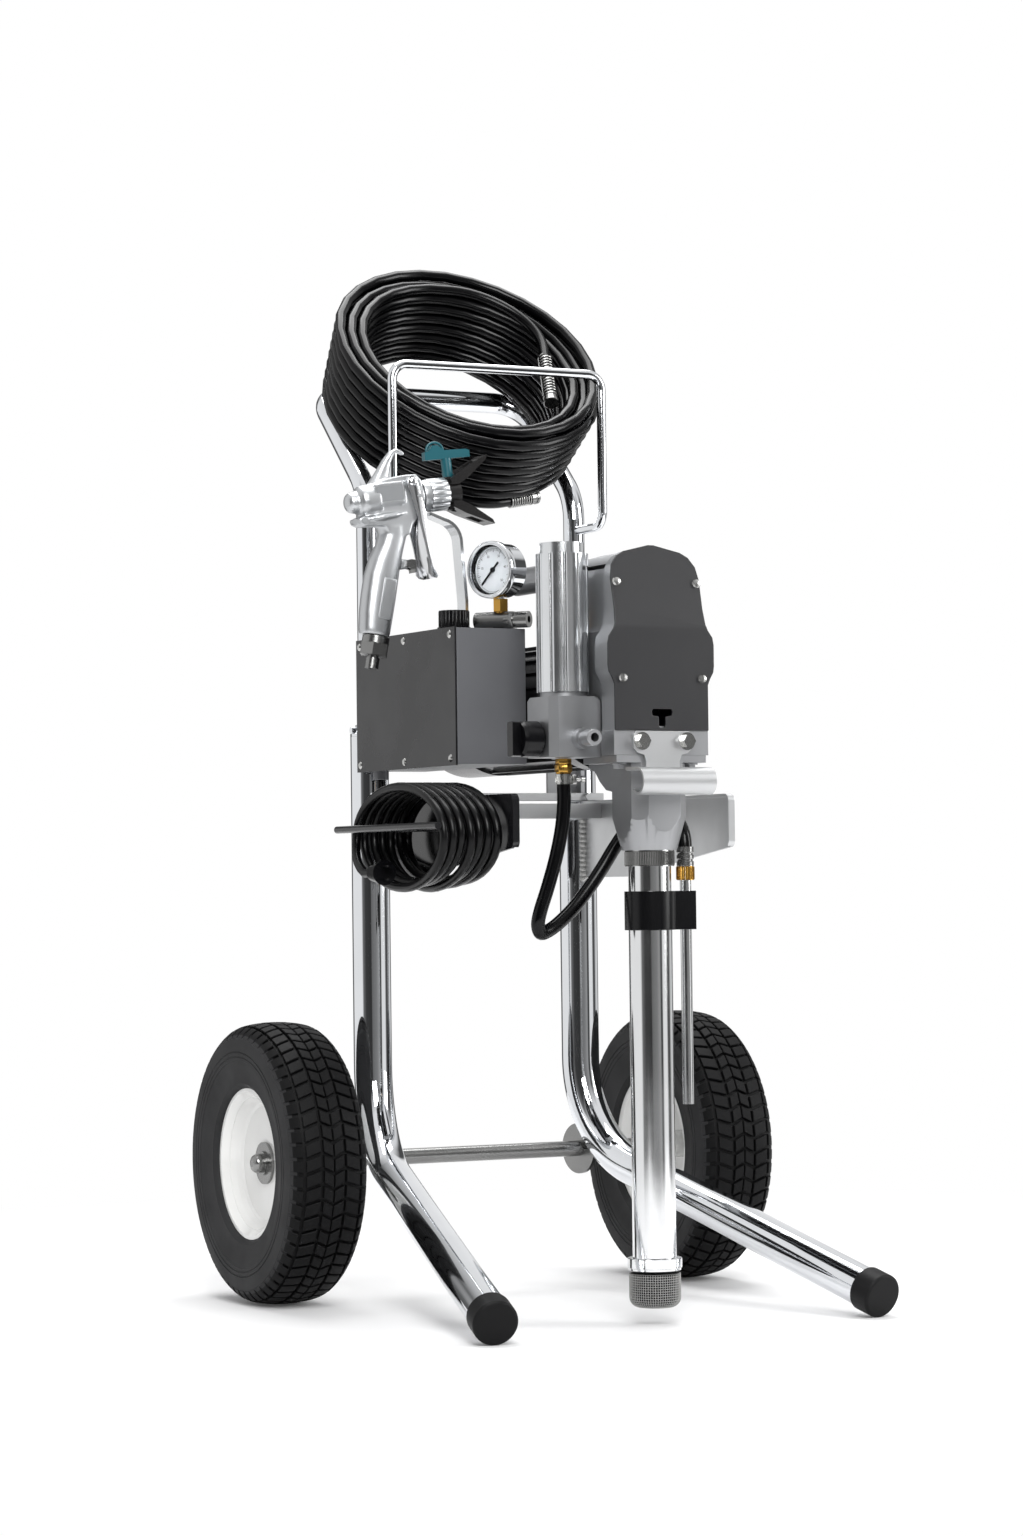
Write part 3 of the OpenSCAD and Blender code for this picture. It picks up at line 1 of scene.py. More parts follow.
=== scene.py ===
# %% [markdown]
# # An airless paint sprayer on its upright cart
#
# The solids of the cart, the pump and the gun come ready made, as a fixed frame. This lesson
# gives them the finishes of the real machine, and makes the pieces that a solid modeller only
# hints at: the coiled spray hose, the power cord, the drain hose, the treaded tyres, the gauge's
# dial and the springs at the hose's ends.

# %% Load the frame
import json
import math

import bmesh
import bpy
from mathutils import Matrix, Vector


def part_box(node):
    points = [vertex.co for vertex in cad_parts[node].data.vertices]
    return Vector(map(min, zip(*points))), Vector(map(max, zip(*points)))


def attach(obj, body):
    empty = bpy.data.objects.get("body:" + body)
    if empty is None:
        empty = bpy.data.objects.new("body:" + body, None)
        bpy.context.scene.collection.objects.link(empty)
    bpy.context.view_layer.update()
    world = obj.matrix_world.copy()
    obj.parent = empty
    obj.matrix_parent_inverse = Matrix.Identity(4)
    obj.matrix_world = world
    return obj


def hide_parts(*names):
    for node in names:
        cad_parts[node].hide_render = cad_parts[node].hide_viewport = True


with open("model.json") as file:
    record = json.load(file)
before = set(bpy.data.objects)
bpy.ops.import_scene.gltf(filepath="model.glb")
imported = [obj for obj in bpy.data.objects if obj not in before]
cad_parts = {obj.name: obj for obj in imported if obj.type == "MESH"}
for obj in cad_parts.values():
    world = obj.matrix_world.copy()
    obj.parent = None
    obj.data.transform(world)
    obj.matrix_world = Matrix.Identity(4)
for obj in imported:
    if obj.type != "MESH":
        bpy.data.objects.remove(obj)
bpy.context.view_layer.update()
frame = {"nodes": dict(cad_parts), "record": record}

NODES = frame["nodes"]
print("nodes in the frame:", len(NODES))

# %% [markdown]
# The solids were drawn in millimetres, with the cart's uprights at Y = 0. The frame's origin is
# on the floor under the middle of the machine, so one function turns a drawing's point into the
# frame's metres. Every route and place below uses it. Z points up in both.

# %% From the drawing's millimetres to the frame's metres
MM = 0.001
UPRIGHT_Y = 159.25
UP = Vector((0, 0, 1))


def at(x, y, z):
    """A point of the drawing, in the frame."""
    return Vector((x * MM, (y + UPRIGHT_Y) * MM, z * MM))


print("the uprights stand at", at(0, 0, 0))

# %% [markdown]
# The camera looks at the machine from its left front, from about four metres away, almost level.
# A long lens keeps the uprights parallel. Its three axes are worked out from a turn, a tilt and
# a slight roll.

# %% The camera
LENS_MM = 89.2
SENSOR_MM = 36
TURN, TILT, ROLL = (math.radians(a) for a in (26.912, 1.77, -0.694))
CAMERA_AT = at(-1739.9, -3511.6, 413.3)

scene = bpy.context.scene
scene.view_settings.view_transform = "Standard"

look = Vector((math.sin(TURN) * math.cos(TILT), math.cos(TURN) * math.cos(TILT), math.sin(TILT)))
level_right = look.cross(UP).normalized()
level_up = level_right.cross(look)
right = level_right * math.cos(ROLL) + level_up * math.sin(ROLL)
up = level_up * math.cos(ROLL) - level_right * math.sin(ROLL)

lens = bpy.data.cameras.new("camera")
lens.sensor_fit = "VERTICAL"
lens.sensor_width = lens.sensor_height = SENSOR_MM
lens.lens = LENS_MM
camera = bpy.data.objects.new("camera", lens)
scene.collection.objects.link(camera)
camera.matrix_world = Matrix.Translation(CAMERA_AT) @ Matrix(
    (right, up, -look)).transposed().to_4x4()
scene.camera = camera
print("camera at", camera.location)

# %% [markdown]
# ## Finishes
#
# Every finish is a Principled shader fed by noise on Object coordinates. The pieces all sit at
# the origin, so an Object coordinate is a place on the machine in metres, and a pattern's scale
# follows from its real size: a grain of one millimetre is a noise scale of about 1000 divided
# by its size in millimetres.

# %% One node at a time
def linear(hex_colour):
    """An sRGB hex colour as the linear numbers that a shader wants."""
    parts = [int(hex_colour[i:i + 2], 16) / 255 for i in (1, 3, 5)]
    straight = [c / 12.92 if c <= 0.04045 else ((c + 0.055) / 1.055) ** 2.4 for c in parts]
    return (*straight, 1.0)


def add_node(tree, kind, inputs=(), **settings):
    """Adds a node to a tree. inputs pairs a socket's name or number with a value or with the
    socket that feeds it."""
    node = tree.nodes.new(kind)
    for name, value in settings.items():
        setattr(node, name, value)
    for name, value in dict(inputs).items():
        if isinstance(value, bpy.types.NodeSocket):
            tree.links.new(value, node.inputs[name])
        else:
            node.inputs[name].default_value = value
    return node


def grain(tree, size_mm, detail=2, stretch=(1, 1, 1)):
    """A noise whose lumps are size_mm across, drawn out where stretch is below 1."""
    place = add_node(tree, "ShaderNodeTexCoord").outputs["Object"]
    drawn = add_node(tree, "ShaderNodeMapping", {"Vector": place, "Scale": stretch})
    return add_node(tree, "ShaderNodeTexNoise", {
        "Vector": drawn.outputs[0], "Scale": 1000 / size_mm, "Detail": detail}).outputs["Fac"]


def spread(tree, fac, low, high, start=0.35, end=0.65):
    """Maps a noise, which stays near its middle, to a range of values."""
    return add_node(tree, "ShaderNodeMapRange", {
        "Value": fac, "From Min": start, "From Max": end, "To Min": low, "To Max": high}).outputs[0]


print("node helpers ready")

# %% [markdown]
# Every finish is built the same way. A fine noise feeds the bump, and a coarse one gives the
# colour and the roughness their patches, so that no surface is evenly clean.

# %% One function for every finish
def finish(name, colour, metallic, roughness, grain_mm=1.0, bump_mm=0.02, rough_swing=0.06,
           shade=0.12, patch_mm=60, stretch=(1, 1, 1), detail=2, **sockets):
    """A material with a fine grain in its bump, patches in its roughness and a little shade in
    its colour. sockets are set on the shader itself."""
    material = bpy.data.materials.new(name)
    material.use_nodes = True
    tree = material.node_tree
    shader = tree.nodes["Principled BSDF"]
    shader.inputs["Metallic"].default_value = metallic
    for socket, value in sockets.items():
        shader.inputs[socket.replace("_", " ")].default_value = value
    fine = grain(tree, grain_mm, detail, stretch)
    patch = grain(tree, patch_mm, 3)
    base = linear(colour)
    deep = tuple(c * (1 - shade) for c in base[:3]) + (1.0,)
    # The Mix node has a socket of each name for every data type, so the colour ones go by number.
    mixed = add_node(tree, "ShaderNodeMix", {0: spread(tree, patch, 0, 1), 6: base, 7: deep},
                     data_type="RGBA")
    tree.links.new(mixed.outputs[2], shader.inputs["Base Color"])
    swing = spread(tree, patch, roughness - rough_swing / 2, roughness + rough_swing / 2)
    tree.links.new(swing, shader.inputs["Roughness"])
    bump = add_node(tree, "ShaderNodeBump", {
        "Height": fine, "Distance": bump_mm * MM, "Strength": 1.0})
    tree.links.new(bump.outputs[0], shader.inputs["Normal"])
    return material


print("finish function ready")

# %% [markdown]
# The metals. Chrome plate on the cart's tubes is almost a mirror, and shows faint lengthwise
# lines left by the drawing of the tube. Cast aluminium is satin, with a sand-like skin. Brushed
# stainless is drawn out along its grain.

# %% The metals
# Bright nickel-chrome plate on drawn steel tube.
chromed_tube = finish("chrome_plated_tube", "#E2E4E7", 1.0, 0.05, grain_mm=1.2, bump_mm=0.0015,
                      rough_swing=0.03, shade=0.04, stretch=(1, 1, 0.02))
# Polished stainless: the siphon tube and the pump's cylinder.
polished_stainless = finish("polished_stainless", "#E2E3E4", 1.0, 0.11, grain_mm=0.8,
                            bump_mm=0.002, shade=0.04, stretch=(1, 1, 0.03))
# Satin stainless sheet with a grain that runs along X: the pail hook.
brushed_stainless = finish("brushed_stainless_sheet", "#C2C3C4", 1.0, 0.40, grain_mm=0.5,
                           bump_mm=0.006, shade=0.06, stretch=(0.04, 1, 1))
# Turned steel: nuts, nipples and the sensor bar, with fine tool marks round them.
turned_steel = finish("turned_steel", "#8C8C8B", 1.0, 0.24, grain_mm=0.4, bump_mm=0.004, shade=0.1)
# Nickel plate on small screws and springs.
nickel_plate = finish("nickel_plated_steel", "#BEBEBC", 1.0, 0.20, grain_mm=0.8, bump_mm=0.003)
# Die-cast aluminium, shot-blasted: soft, pale and evenly grained.
cast_aluminium = finish("blasted_cast_aluminium", "#9B9C9E", 0.9, 0.42, grain_mm=0.7,
                        bump_mm=0.018, rough_swing=0.08, shade=0.08)
# Aluminium again, but machined and clear coated: the filter tube and the gun's holder.
machined_aluminium = finish("machined_aluminium", "#DCDEE0", 1.0, 0.22, grain_mm=0.6,
                            bump_mm=0.003, shade=0.05, stretch=(1, 1, 0.03))
# Tumbled and polished casting: the gun.
polished_casting = finish("polished_casting", "#BFC1C3", 1.0, 0.36, grain_mm=1.6, bump_mm=0.005,
                          rough_swing=0.1, shade=0.08)
# Satin sheet, greyer than the casting round it: the gun's bare badge.
satin_badge = finish("satin_badge_sheet", "#8E9092", 0.6, 0.42, grain_mm=0.6, bump_mm=0.004)
# Bright pressed steel, which mirrors softly: the gun's trigger.
bright_pressing = finish("bright_pressed_steel", "#E4E5E7", 1.0, 0.12, grain_mm=2.0, bump_mm=0.004)
# Turned aluminium, duller than chrome: the gun's retaining nut.
turned_aluminium = finish("turned_aluminium", "#BFC1C3", 1.0, 0.34, grain_mm=0.5, bump_mm=0.004)
# Galvanised steel, rough and dull: the strainer's wires and the weld.
galvanised_plate = finish("galvanised_plate", "#B8B8B6", 0.8, 0.55, grain_mm=1.6, bump_mm=0.1)
# Bright zinc plate on rolled sheet: the plates that carry the pump.
zinc_plate = finish("bright_zinc_plate", "#C6C7C8", 0.9, 0.34, grain_mm=1.4, bump_mm=0.01,
                    shade=0.1)
# Yellow brass, machined and a little tarnished: the gauge's and the drain's fittings.
yellow_brass = finish("yellow_brass", "#C79A4B", 1.0, 0.22, grain_mm=0.8, bump_mm=0.004, shade=0.15)
print("metals made")

# %% [markdown]
# Paint. Powder coat is sprayed on dry and baked, which leaves a fine orange peel that breaks up
# its shine. Enamel is sprayed wet and flows out smoother.

# %% Powder coat and enamel
# Textured powder coat in near black, which reads as a soft dark grey: the front cover.
charcoal_powder = finish("charcoal_powder_coat", "#1A1A1C", 0.0, 0.44, grain_mm=0.9, bump_mm=0.05,
                         shade=0.10)
# A smoother black powder coat with a wide sheen: the side panel.
panel_powder = finish("black_powder_coat", "#161618", 0.0, 0.26, grain_mm=1.4, bump_mm=0.02,
                      shade=0.10, Specular_IOR_Level=0.4)
# Metallic grey powder coat: the control box.
grey_powder = finish("grey_powder_coat", "#66676A", 0.3, 0.42, grain_mm=1.2, bump_mm=0.03,
                     shade=0.08)
# Glossy black enamel with clear highlights: the motor's shell and the hanger. On the left side
# plate, the same zinc plate as the right one, the black is painted shade for its shadowed outer
# face.
black_enamel = finish("black_enamel", "#131315", 0.0, 0.24, grain_mm=3.0, bump_mm=0.01)
# Pale grey enamel with a dull sheen: the motor's bracket.
pale_grey_enamel = finish("pale_grey_enamel", "#A6A7A9", 0.3, 0.36, grain_mm=1.4, bump_mm=0.015)
# White enamel under a clear coat, almost without grain: the wheels' rims.
white_enamel = finish("white_wheel_enamel", "#E0E0DE", 0.0, 0.20, grain_mm=4.0, bump_mm=0.01,
                      shade=0.03, Coat_Weight=0.5, Coat_Roughness=0.08)
print("paint made")

# %% [markdown]
# Rubber and plastic. A tyre's rubber is matt, and its flanks are painted paler: a painted
# highlight for the light that falls on the tyre's side. The hose's cover is a smooth plastic with a
# wet-looking shine, and moulded plastic has a fine spark-eroded grain.

# %% Rubber and plastic
# The flanks are painted paler than the blocks: a painted highlight for the key light on the tyre's
# side.
painted_light_sidewall = finish("sidewall_rubber_painted_paler", "#2A2A2B", 0.0, 0.65, grain_mm=1.0, bump_mm=0.02,
                         shade=0.2, patch_mm=40, Specular_IOR_Level=0.2)
# The blocks keep the rubber's own deep black, and stay matt.
tyre_rubber = finish("black_tread_rubber", "#080809", 0.0, 0.60, grain_mm=1.2, bump_mm=0.03,
                     shade=0.25, patch_mm=25, Specular_IOR_Level=0.15)
# An extruded cover, smooth enough for long narrow highlights: the spray hose and drain hose.
hose_cover = finish("smooth_hose_cover", "#050506", 0.0, 0.20, grain_mm=3.0, bump_mm=0.03,
                    rough_swing=0.1, shade=0.2, Specular_IOR_Level=0.2)
# A softer jacket with a duller shine: the power cord.
cord_jacket = finish("cord_jacket", "#060607", 0.0, 0.28, grain_mm=1.5, bump_mm=0.03, shade=0.2,
                     Specular_IOR_Level=0.2)
# Moulded black plastic: the knob, the valve's handle, the clip and the plug.
black_moulding = finish("black_moulded_plastic", "#08080A", 0.0, 0.22, grain_mm=0.9, bump_mm=0.01,
                        Specular_IOR_Level=0.25)
# Glass-filled nylon in dark grey, with a low even gloss: the tip guard.
guard_plastic = finish("dark_guard_plastic", "#1E1D1D", 0.0, 0.22, grain_mm=0.8, bump_mm=0.01)
# Teal plastic, dyed right through and slightly dull: the tip's key.
teal_plastic = finish("teal_tip_plastic", "#024E58", 0.0, 0.36, grain_mm=0.8, bump_mm=0.015,
                      shade=0.1)
# Moulded rubber, matt and scuffed: the foot caps.
foot_rubber = finish("foot_cap_rubber", "#0E0E0F", 0.0, 0.50, grain_mm=1.2, bump_mm=0.03,
                     Specular_IOR_Level=0.15)
# Green lacquer over copper: the circuit board.
board_green = finish("circuit_board_green", "#1D4A2C", 0.0, 0.40, grain_mm=1.0, bump_mm=0.01)
# Printed sheet, flat white, and the black ink on it: the gauge's dial.
dial_white = finish("printed_dial_white", "#E6E7E8", 0.0, 0.45, grain_mm=1.0, bump_mm=0.002,
                    shade=0.02)
dial_black = finish("printed_dial_black", "#17181A", 0.0, 0.50, grain_mm=1.0, bump_mm=0.001)
# The strainer's dark inside: painted shade, for the shadow within the wire cup.
strainer_painted_shade = finish("shadowed_recess", "#050505", 0.0, 0.80, grain_mm=1.0, bump_mm=0.001)
# A thin clear window. Its low IOR keeps the dial behind it in its place.
gauge_glass = finish("gauge_glass", "#F4F6F8", 0.0, 0.02, grain_mm=30, bump_mm=0.0, rough_swing=0.0,
                     shade=0.0, Transmission_Weight=1.0, IOR=1.1)
print("rubber and plastic made")

# %% [markdown]
# Each solid of the frame gets one of these finishes over its whole surface. Some solids are
# replaced further down, and the pieces that stand for them take the finish from here.

# %% Dress the CAD nodes
FINISHES = {
    chromed_tube: "left_leg right_leg handle hose_hoop tube_collars gauge_case",
    polished_stainless: "siphon_tube pump_cylinder drain_tube piston_rod",
    brushed_stainless: "pail_hook",
    turned_steel: "axle_nuts gun_swivel sensor_bar gun_nut crank_gear motor_rotor filter_element "
                  "strainer trigger_lock axle",
    nickel_plate: "box_screws front_screws",
    cast_aluminium: "drive_housing pump_yoke manifold",
    machined_aluminium: "filter_tube gun_holder",
    polished_casting: "gun_body gun_trigger",
    yellow_brass: "gauge_nut drain_barb",
    charcoal_powder: "front_cover",
    panel_powder: "side_panel",
    grey_powder: "control_box",
    pale_grey_enamel: "motor_bracket",
    zinc_plate: "cross_rail right_side_plate",
    # Black on the left side plate is painted shade: it is the same zinc plate as the right one.
    black_enamel: "motor_shell cord_hanger left_side_plate",
    white_enamel: "left_rim right_rim",
    black_moulding: "pressure_knob prime_valve tube_clip cord_plug gauge_needle",
    guard_plastic: "tip_guard",
    teal_plastic: "tip_key",
    foot_rubber: "foot_caps",
    board_green: "circuit_board",
    gauge_glass: "gauge_lens",
}


def dress(piece, material):
    """One finish over a whole piece."""
    piece.data.materials.clear()
    piece.data.materials.append(material)


for material, names in FINISHES.items():
    for name in names.split():
        dress(NODES[name], material)
print("dressed nodes:", sum(len(v.split()) for v in FINISHES.values()))

# %% [markdown]
# ## Cords
#
# A hose is a curve with a round bevel. Its route is a list of points, and its real length is
# measured along them and printed.

# %% Helpers for routes
def unit(x, y, z):
    """The direction of these three numbers."""
    return Vector((x, y, z)).normalized()


def bezier(a, b, c, d, steps):
    """Points from a to d, leaving towards b and arriving from c."""
    points = []
    for i in range(steps + 1):
        t = i / steps
        s = 1 - t
        points.append(a * s ** 3 + b * (3 * s * s * t) + c * (3 * s * t * t) + d * t ** 3)
    return points


def smooth(t):
    """Rises gently from 0 to 1 as t does."""
    t = min(1.0, max(0.0, t))
    return t * t * (3 - 2 * t)


def rounded(points, per_span=6):
    """A Catmull-Rom line through given points."""
    dense = []
    n = len(points)
    for i in range(n - 1):
        before = points[i - 1] if i else points[0] * 2 - points[1]
        after = points[i + 2] if i + 2 < n else points[-1] * 2 - points[-2]
        p, q = points[i], points[i + 1]
        for k in range(per_span):
            t = k / per_span
            dense.append(0.5 * (2 * p + (q - before) * t
                                + (2 * before - 5 * p + 4 * q - after) * t * t
                                + (3 * p - before - 3 * q + after) * t ** 3))
    return dense + [points[-1]]


def route_length(points):
    """The length along a route."""
    return sum((b - a).length for a, b in zip(points, points[1:]))


print("route helpers ready")

# %% [markdown]
# One function makes a tube along a route. Hoses, cords, springs and rods all come from it.

# %% A tube along a route
def tube_curve(name, points, radius_mm, material, body, sides=4):
    """A round tube along points, as one open spline with closed ends."""
    curve = bpy.data.curves.new(name, "CURVE")
    curve.dimensions = "3D"
    curve.bevel_depth = radius_mm * MM
    curve.bevel_resolution = sides
    curve.use_fill_caps = True
    spline = curve.splines.new("POLY")
    spline.points.add(len(points) - 1)
    for target, p in zip(spline.points, points):
        target.co = (*p, 1)
    spline.use_smooth = True
    curve.materials.append(material)
    piece = bpy.data.objects.new(name, curve)
    scene.collection.objects.link(piece)
    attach(piece, body)
    return piece


print("tube function ready")

# %% [markdown]
# The spray hose lies on the handle's sloping arms in three layers of seven or eight turns. Each
# layer is a slow spiral that widens towards its open top, and the route climbs half a turn to
# start the next layer inside it. The coil is drawn level, round its own centre, and then tipped
# by 45 degrees.

# %% The spray hose's coil
HOSE_R = 5.55
HOSE_PITCH = 11.6
LAYER_STEP = 12.0
COIL_CENTRE = Vector((0.6, 26, 934))
# The outer layer's radius and height at its top turn, and what each lower turn is narrower by.
COIL_R, COIL_TOP, COIL_TAPER = 140.4, 37.4, 1.45
COIL_TURNS = 7.5
LAYER_TURNS = COIL_TURNS + 0.5
COIL_FLOOR = COIL_TOP - COIL_TURNS * HOSE_PITCH
COIL_START = 262
COIL_RINGS = 30
C45 = math.cos(math.radians(45))


def tipped(p):
    """A point of the level coil, tipped forward by 45 degrees."""
    return Vector((p[0], (p[1] - p[2]) * C45, (p[1] + p[2]) * C45))


def coil_place(t):
    """Radius and height of the hose after t turns: out, in and out again."""
    layer = min(2, int(t // LAYER_TURNS))
    u = t - layer * LAYER_TURNS
    widest = COIL_R - LAYER_STEP * layer
    rising = layer != 1
    run = min(u, COIL_TURNS)
    height = COIL_FLOOR + HOSE_PITCH * run if rising else COIL_TOP - HOSE_PITCH * run
    radius = widest - COIL_TAPER * (COIL_TOP - height) / HOSE_PITCH
    if u > COIL_TURNS and layer < 2:
        climb = (u - COIL_TURNS) * 2
        radius -= LAYER_STEP * climb
        height += 0.17 * HOSE_PITCH * math.sin(math.pi * climb) * (1 if rising else -1)
    return radius, height


def coil_point(t):
    """The hose's middle after t turns, on the tipped coil."""
    a = math.radians(COIL_START - 360 * t)
    radius, height = coil_place(t)
    return COIL_CENTRE + tipped((radius * math.cos(a), radius * math.sin(a), height))


all_turns = 2 * LAYER_TURNS + COIL_TURNS
coil_line = [coil_point(i / COIL_RINGS) for i in range(int(all_turns * COIL_RINGS) + 1)]
print("turns in the coil:", all_turns)

# %% [markdown]
# One end of the hose hangs under the coil's front. The other leaves the top turn, follows the
# coil's inner wall and turns down. Both leave the coil on smooth curves, and both end straight,
# because the fittings and the springs there are straight.

# %% The spray hose
TAIL_LENGTH, TAIL_REACH = 34, 22
HEAD_LENGTH, HEAD_REACH = 76, 46
FERRULE_LENGTH = 11

tail_dir = unit(0.965, 0.187, 0.187)
tail_end = Vector((54.7, -21.5, 813.9))
tail_start = tail_end - tail_dir * TAIL_LENGTH
leaving = (coil_line[2] - coil_line[1]).normalized()
tail_bend = bezier(tail_start, tail_start - tail_dir * TAIL_REACH,
                   coil_line[1] - leaving * TAIL_REACH, coil_line[1], 12)

head_dir = unit(-17, -46, -54)
head_start = Vector((97.8, 22.5, 976))
head_end = head_start + head_dir * HEAD_LENGTH
arriving = (coil_line[-1] - coil_line[-2]).normalized()
head_bend = bezier(coil_line[-1], coil_line[-1] + arriving * HEAD_REACH,
                   head_start - head_dir * HEAD_REACH, head_start, 20)

hose_line = [at(*p) for p in [tail_end, *tail_bend, *coil_line[2:], *head_bend[1:],
                              head_end - head_dir * FERRULE_LENGTH, head_end]]
spray_hose = tube_curve("spray_hose", hose_line, HOSE_R, hose_cover, "handle_frame")
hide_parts("hose_coil")
print("spray hose, metres:", round(route_length(hose_line), 3))

# %% [markdown]
# ## Mesh pieces
#
# A mesh is built from parts, each made at the origin and then moved. So the points that already
# have their place are tagged, and only the new ones move. Every softened edge goes through one
# bevel function, with the settings that the editor's own bevel would have.

# %% Helpers for mesh pieces
def new_piece(name, bm, material, body, slot, smooth_degrees=35):
    """A finished mesh piece at the origin, smooth where its faces meet gently."""
    bmesh.ops.remove_doubles(bm, verts=bm.verts, dist=1e-6)
    bmesh.ops.recalc_face_normals(bm, faces=bm.faces)
    for edge in bm.edges:
        edge.smooth = len(edge.link_faces) == 2 and edge.calc_face_angle(0) < math.radians(
            smooth_degrees)
    for face in bm.faces:
        face.smooth = True
    mesh = bpy.data.meshes.new(name)
    bm.to_mesh(mesh)
    bm.free()
    mesh.materials.append(material)
    piece = bpy.data.objects.new(name, mesh)
    scene.collection.objects.link(piece)
    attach(piece, body)
    return piece


def settle(bm):
    """Tags every point as placed."""
    for v in bm.verts:
        v.tag = True


def move_new(bm, matrix):
    """Moves the points that aren't placed yet, and tags them."""
    bmesh.ops.transform(bm, matrix=matrix, verts=[v for v in bm.verts if not v.tag])
    settle(bm)


def points_of(geom):
    """The points among what an operator made."""
    return [g for g in geom if isinstance(g, bmesh.types.BMVert)]


def edges_at(verts):
    """Every edge that ends at one of these points."""
    return list({e for v in verts for e in v.link_edges})


def roll(bm, edges, width, segments=2, **settings):
    """Bevels edges by width, in the mesh's own unit."""
    bmesh.ops.bevel(bm, geom=edges, offset=width, segments=segments, affect="EDGES", profile=0.5,
                    material=-1, **settings)


def block(bm, matrix):
    """A cube of one millimetre, which the matrix stretches and sets in place."""
    verts = bmesh.ops.create_cube(bm, size=MM)["verts"]
    bmesh.ops.transform(bm, matrix=matrix, verts=verts)
    return verts


print("mesh helpers ready")

# %% [markdown]
# Turned parts, such as ferrules and nuts, are profiles that are spun round an axis.

# %% Helpers for turned parts
def pointing(axis):
    """The turn that takes the Z axis to this one."""
    return UP.rotation_difference(axis).to_matrix().to_4x4()


def turned(bm, profile, where, axis=UP, steps=48):
    """Spins a profile of (radius, distance) pairs in millimetres round axis, from where."""
    verts = [bm.verts.new((r * MM, 0, d * MM)) for r, d in profile]
    edges = [bm.edges.new(pair) for pair in zip(verts, verts[1:])]
    bmesh.ops.spin(bm, geom=verts + edges, cent=(0, 0, 0), axis=(0, 0, 1), angle=math.tau,
                   steps=steps, use_merge=True)
    bmesh.ops.remove_doubles(bm, verts=bm.verts, dist=1e-7)
    move_new(bm, Matrix.Translation(where) @ pointing(axis))


def hexagon(bm, across_mm, height_mm, where, bevel_mm):
    """An upright hexagonal nut blank with softened edges, standing on where."""
    radius = across_mm / 2 * MM
    made = bmesh.ops.create_cone(bm, cap_ends=True, segments=6, radius1=radius, radius2=radius,
                                 depth=height_mm * MM)["verts"]
    edges = edges_at(made)
    middle = Matrix.Translation(where + UP * (height_mm / 2 * MM))
    bmesh.ops.transform(bm, matrix=middle, verts=made)
    roll(bm, edges, bevel_mm * MM)
    settle(bm)


print("helpers for turned parts ready")

# %% [markdown]
# Each end of the hose has a steel ferrule, and a wire spring that keeps the hose from kinking.
# A spring is a curve that winds round the hose's last straight stretch.

# %% The hose's two ends
WIRE_R = 0.9
FERRULE = [(0, 0), (7.4, 0), (7.9, 0.6), (7.9, 2.2), (7.2, 2.8), (7.2, 7), (7.9, 7.6), (7.9, 10.4),
           (7.2, 11), (0, 11)]


def spring_line(start, direction, radius_mm, pitch_mm, turns, steps=20):
    """Points of a wound spring along a straight stretch of hose."""
    side = direction.orthogonal().normalized()
    other = direction.cross(side)
    return [start + direction * (pitch_mm * MM * i / steps)
            + (side * math.cos(math.tau * i / steps) + other * math.sin(math.tau * i / steps))
            * radius_mm * MM for i in range(turns * steps + 1)]


def hose_end(name, end, direction, pitch_mm, turns):
    """The ferrule and the spring at one end of the hose."""
    bm = bmesh.new()
    turned(bm, FERRULE, end, direction)
    ferrule = new_piece(name + "_ferrule", bm, turned_steel, "handle_frame", "chrome")
    start = end - direction * ((turns * pitch_mm - 0.4) * MM)
    line = spring_line(start, direction, HOSE_R + 1.5 * WIRE_R, pitch_mm, turns)
    spring = tube_curve(name + "_spring", line, WIRE_R, nickel_plate, "handle_frame",
                        sides=2)
    return ferrule, spring


tail_ferrule, tail_spring = hose_end("hose_tail", at(*tail_end), tail_dir, 3.0, 9)
head_ferrule, head_spring = hose_end("hose_head", at(*head_end), head_dir, 4.4, 14)
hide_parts("hose_ends")
print("hose ends made")

# %% [markdown]
# The power cord drops out of the gland under the control box, reaches the hanger and goes round
# it seven times. Its turns lie side by side, and the plug shows at the front of the last one.

# %% The power cord
CORD_R = 4.4
CORD_PITCH, CORD_TURNS, CORD_RINGS = 9.3, 7, 40
CORD_FROM_X, CORD_Y, CORD_Z = -125.2, -212, 464
LOOP_HALF_DEPTH, LOOP_HALF_HEIGHT = 92, 45.2
lead_points = [Vector(p) for p in [
    (-126, -42, 529), (-126, -42, 518), (-126, -44, 503), (-126, -51, 483), (-126, -64, 461),
    (-125.8, -86, 445), (-125.4, -112, 436.5), (-125.3, -137, 431.6)]]


def cord_point(t):
    """A turn hangs from the hanger at its top, and is looser or tighter than the next below."""
    a = math.radians(305 - 360 * t)
    out = 8.5 * smooth(6 * (t - CORD_TURNS) + 1)
    slack = smooth(2 * t) * smooth(2 * (CORD_TURNS - t)) * (1 + math.sin(2.3 * t + 0.6))
    return Vector((CORD_FROM_X - CORD_PITCH * t - out,
                   CORD_Y + (LOOP_HALF_DEPTH + 1.6 * slack) * math.cos(a),
                   CORD_Z + LOOP_HALF_HEIGHT * math.sin(a) - 3.4 * slack * (1 - math.sin(a)) / 2))


cord_loops = [cord_point(i / CORD_RINGS) for i in range(CORD_TURNS * CORD_RINGS + 1)]
cord_end = cord_loops[-1] + Vector((0, -20.8, 0))
cord_line = [at(*p) for p in [*rounded(lead_points), *cord_loops, cord_end]]
power_cord = tube_curve("mains_cord", cord_line, CORD_R, cord_jacket, "cart")
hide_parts("power_cord", "cord_lead")
print("power cord, metres:", round(route_length(cord_line), 3))

# %% [markdown]
# ## Tyres
#
# A tyre is a carcass that is spun from its section, and a tread of separate blocks. The blocks
# of one pitch are drawn flat in millimetres, bevelled, and then wrapped round the crown by a
# function. The rows lean against one another, which gives the zig-zag tread of a cart tyre.

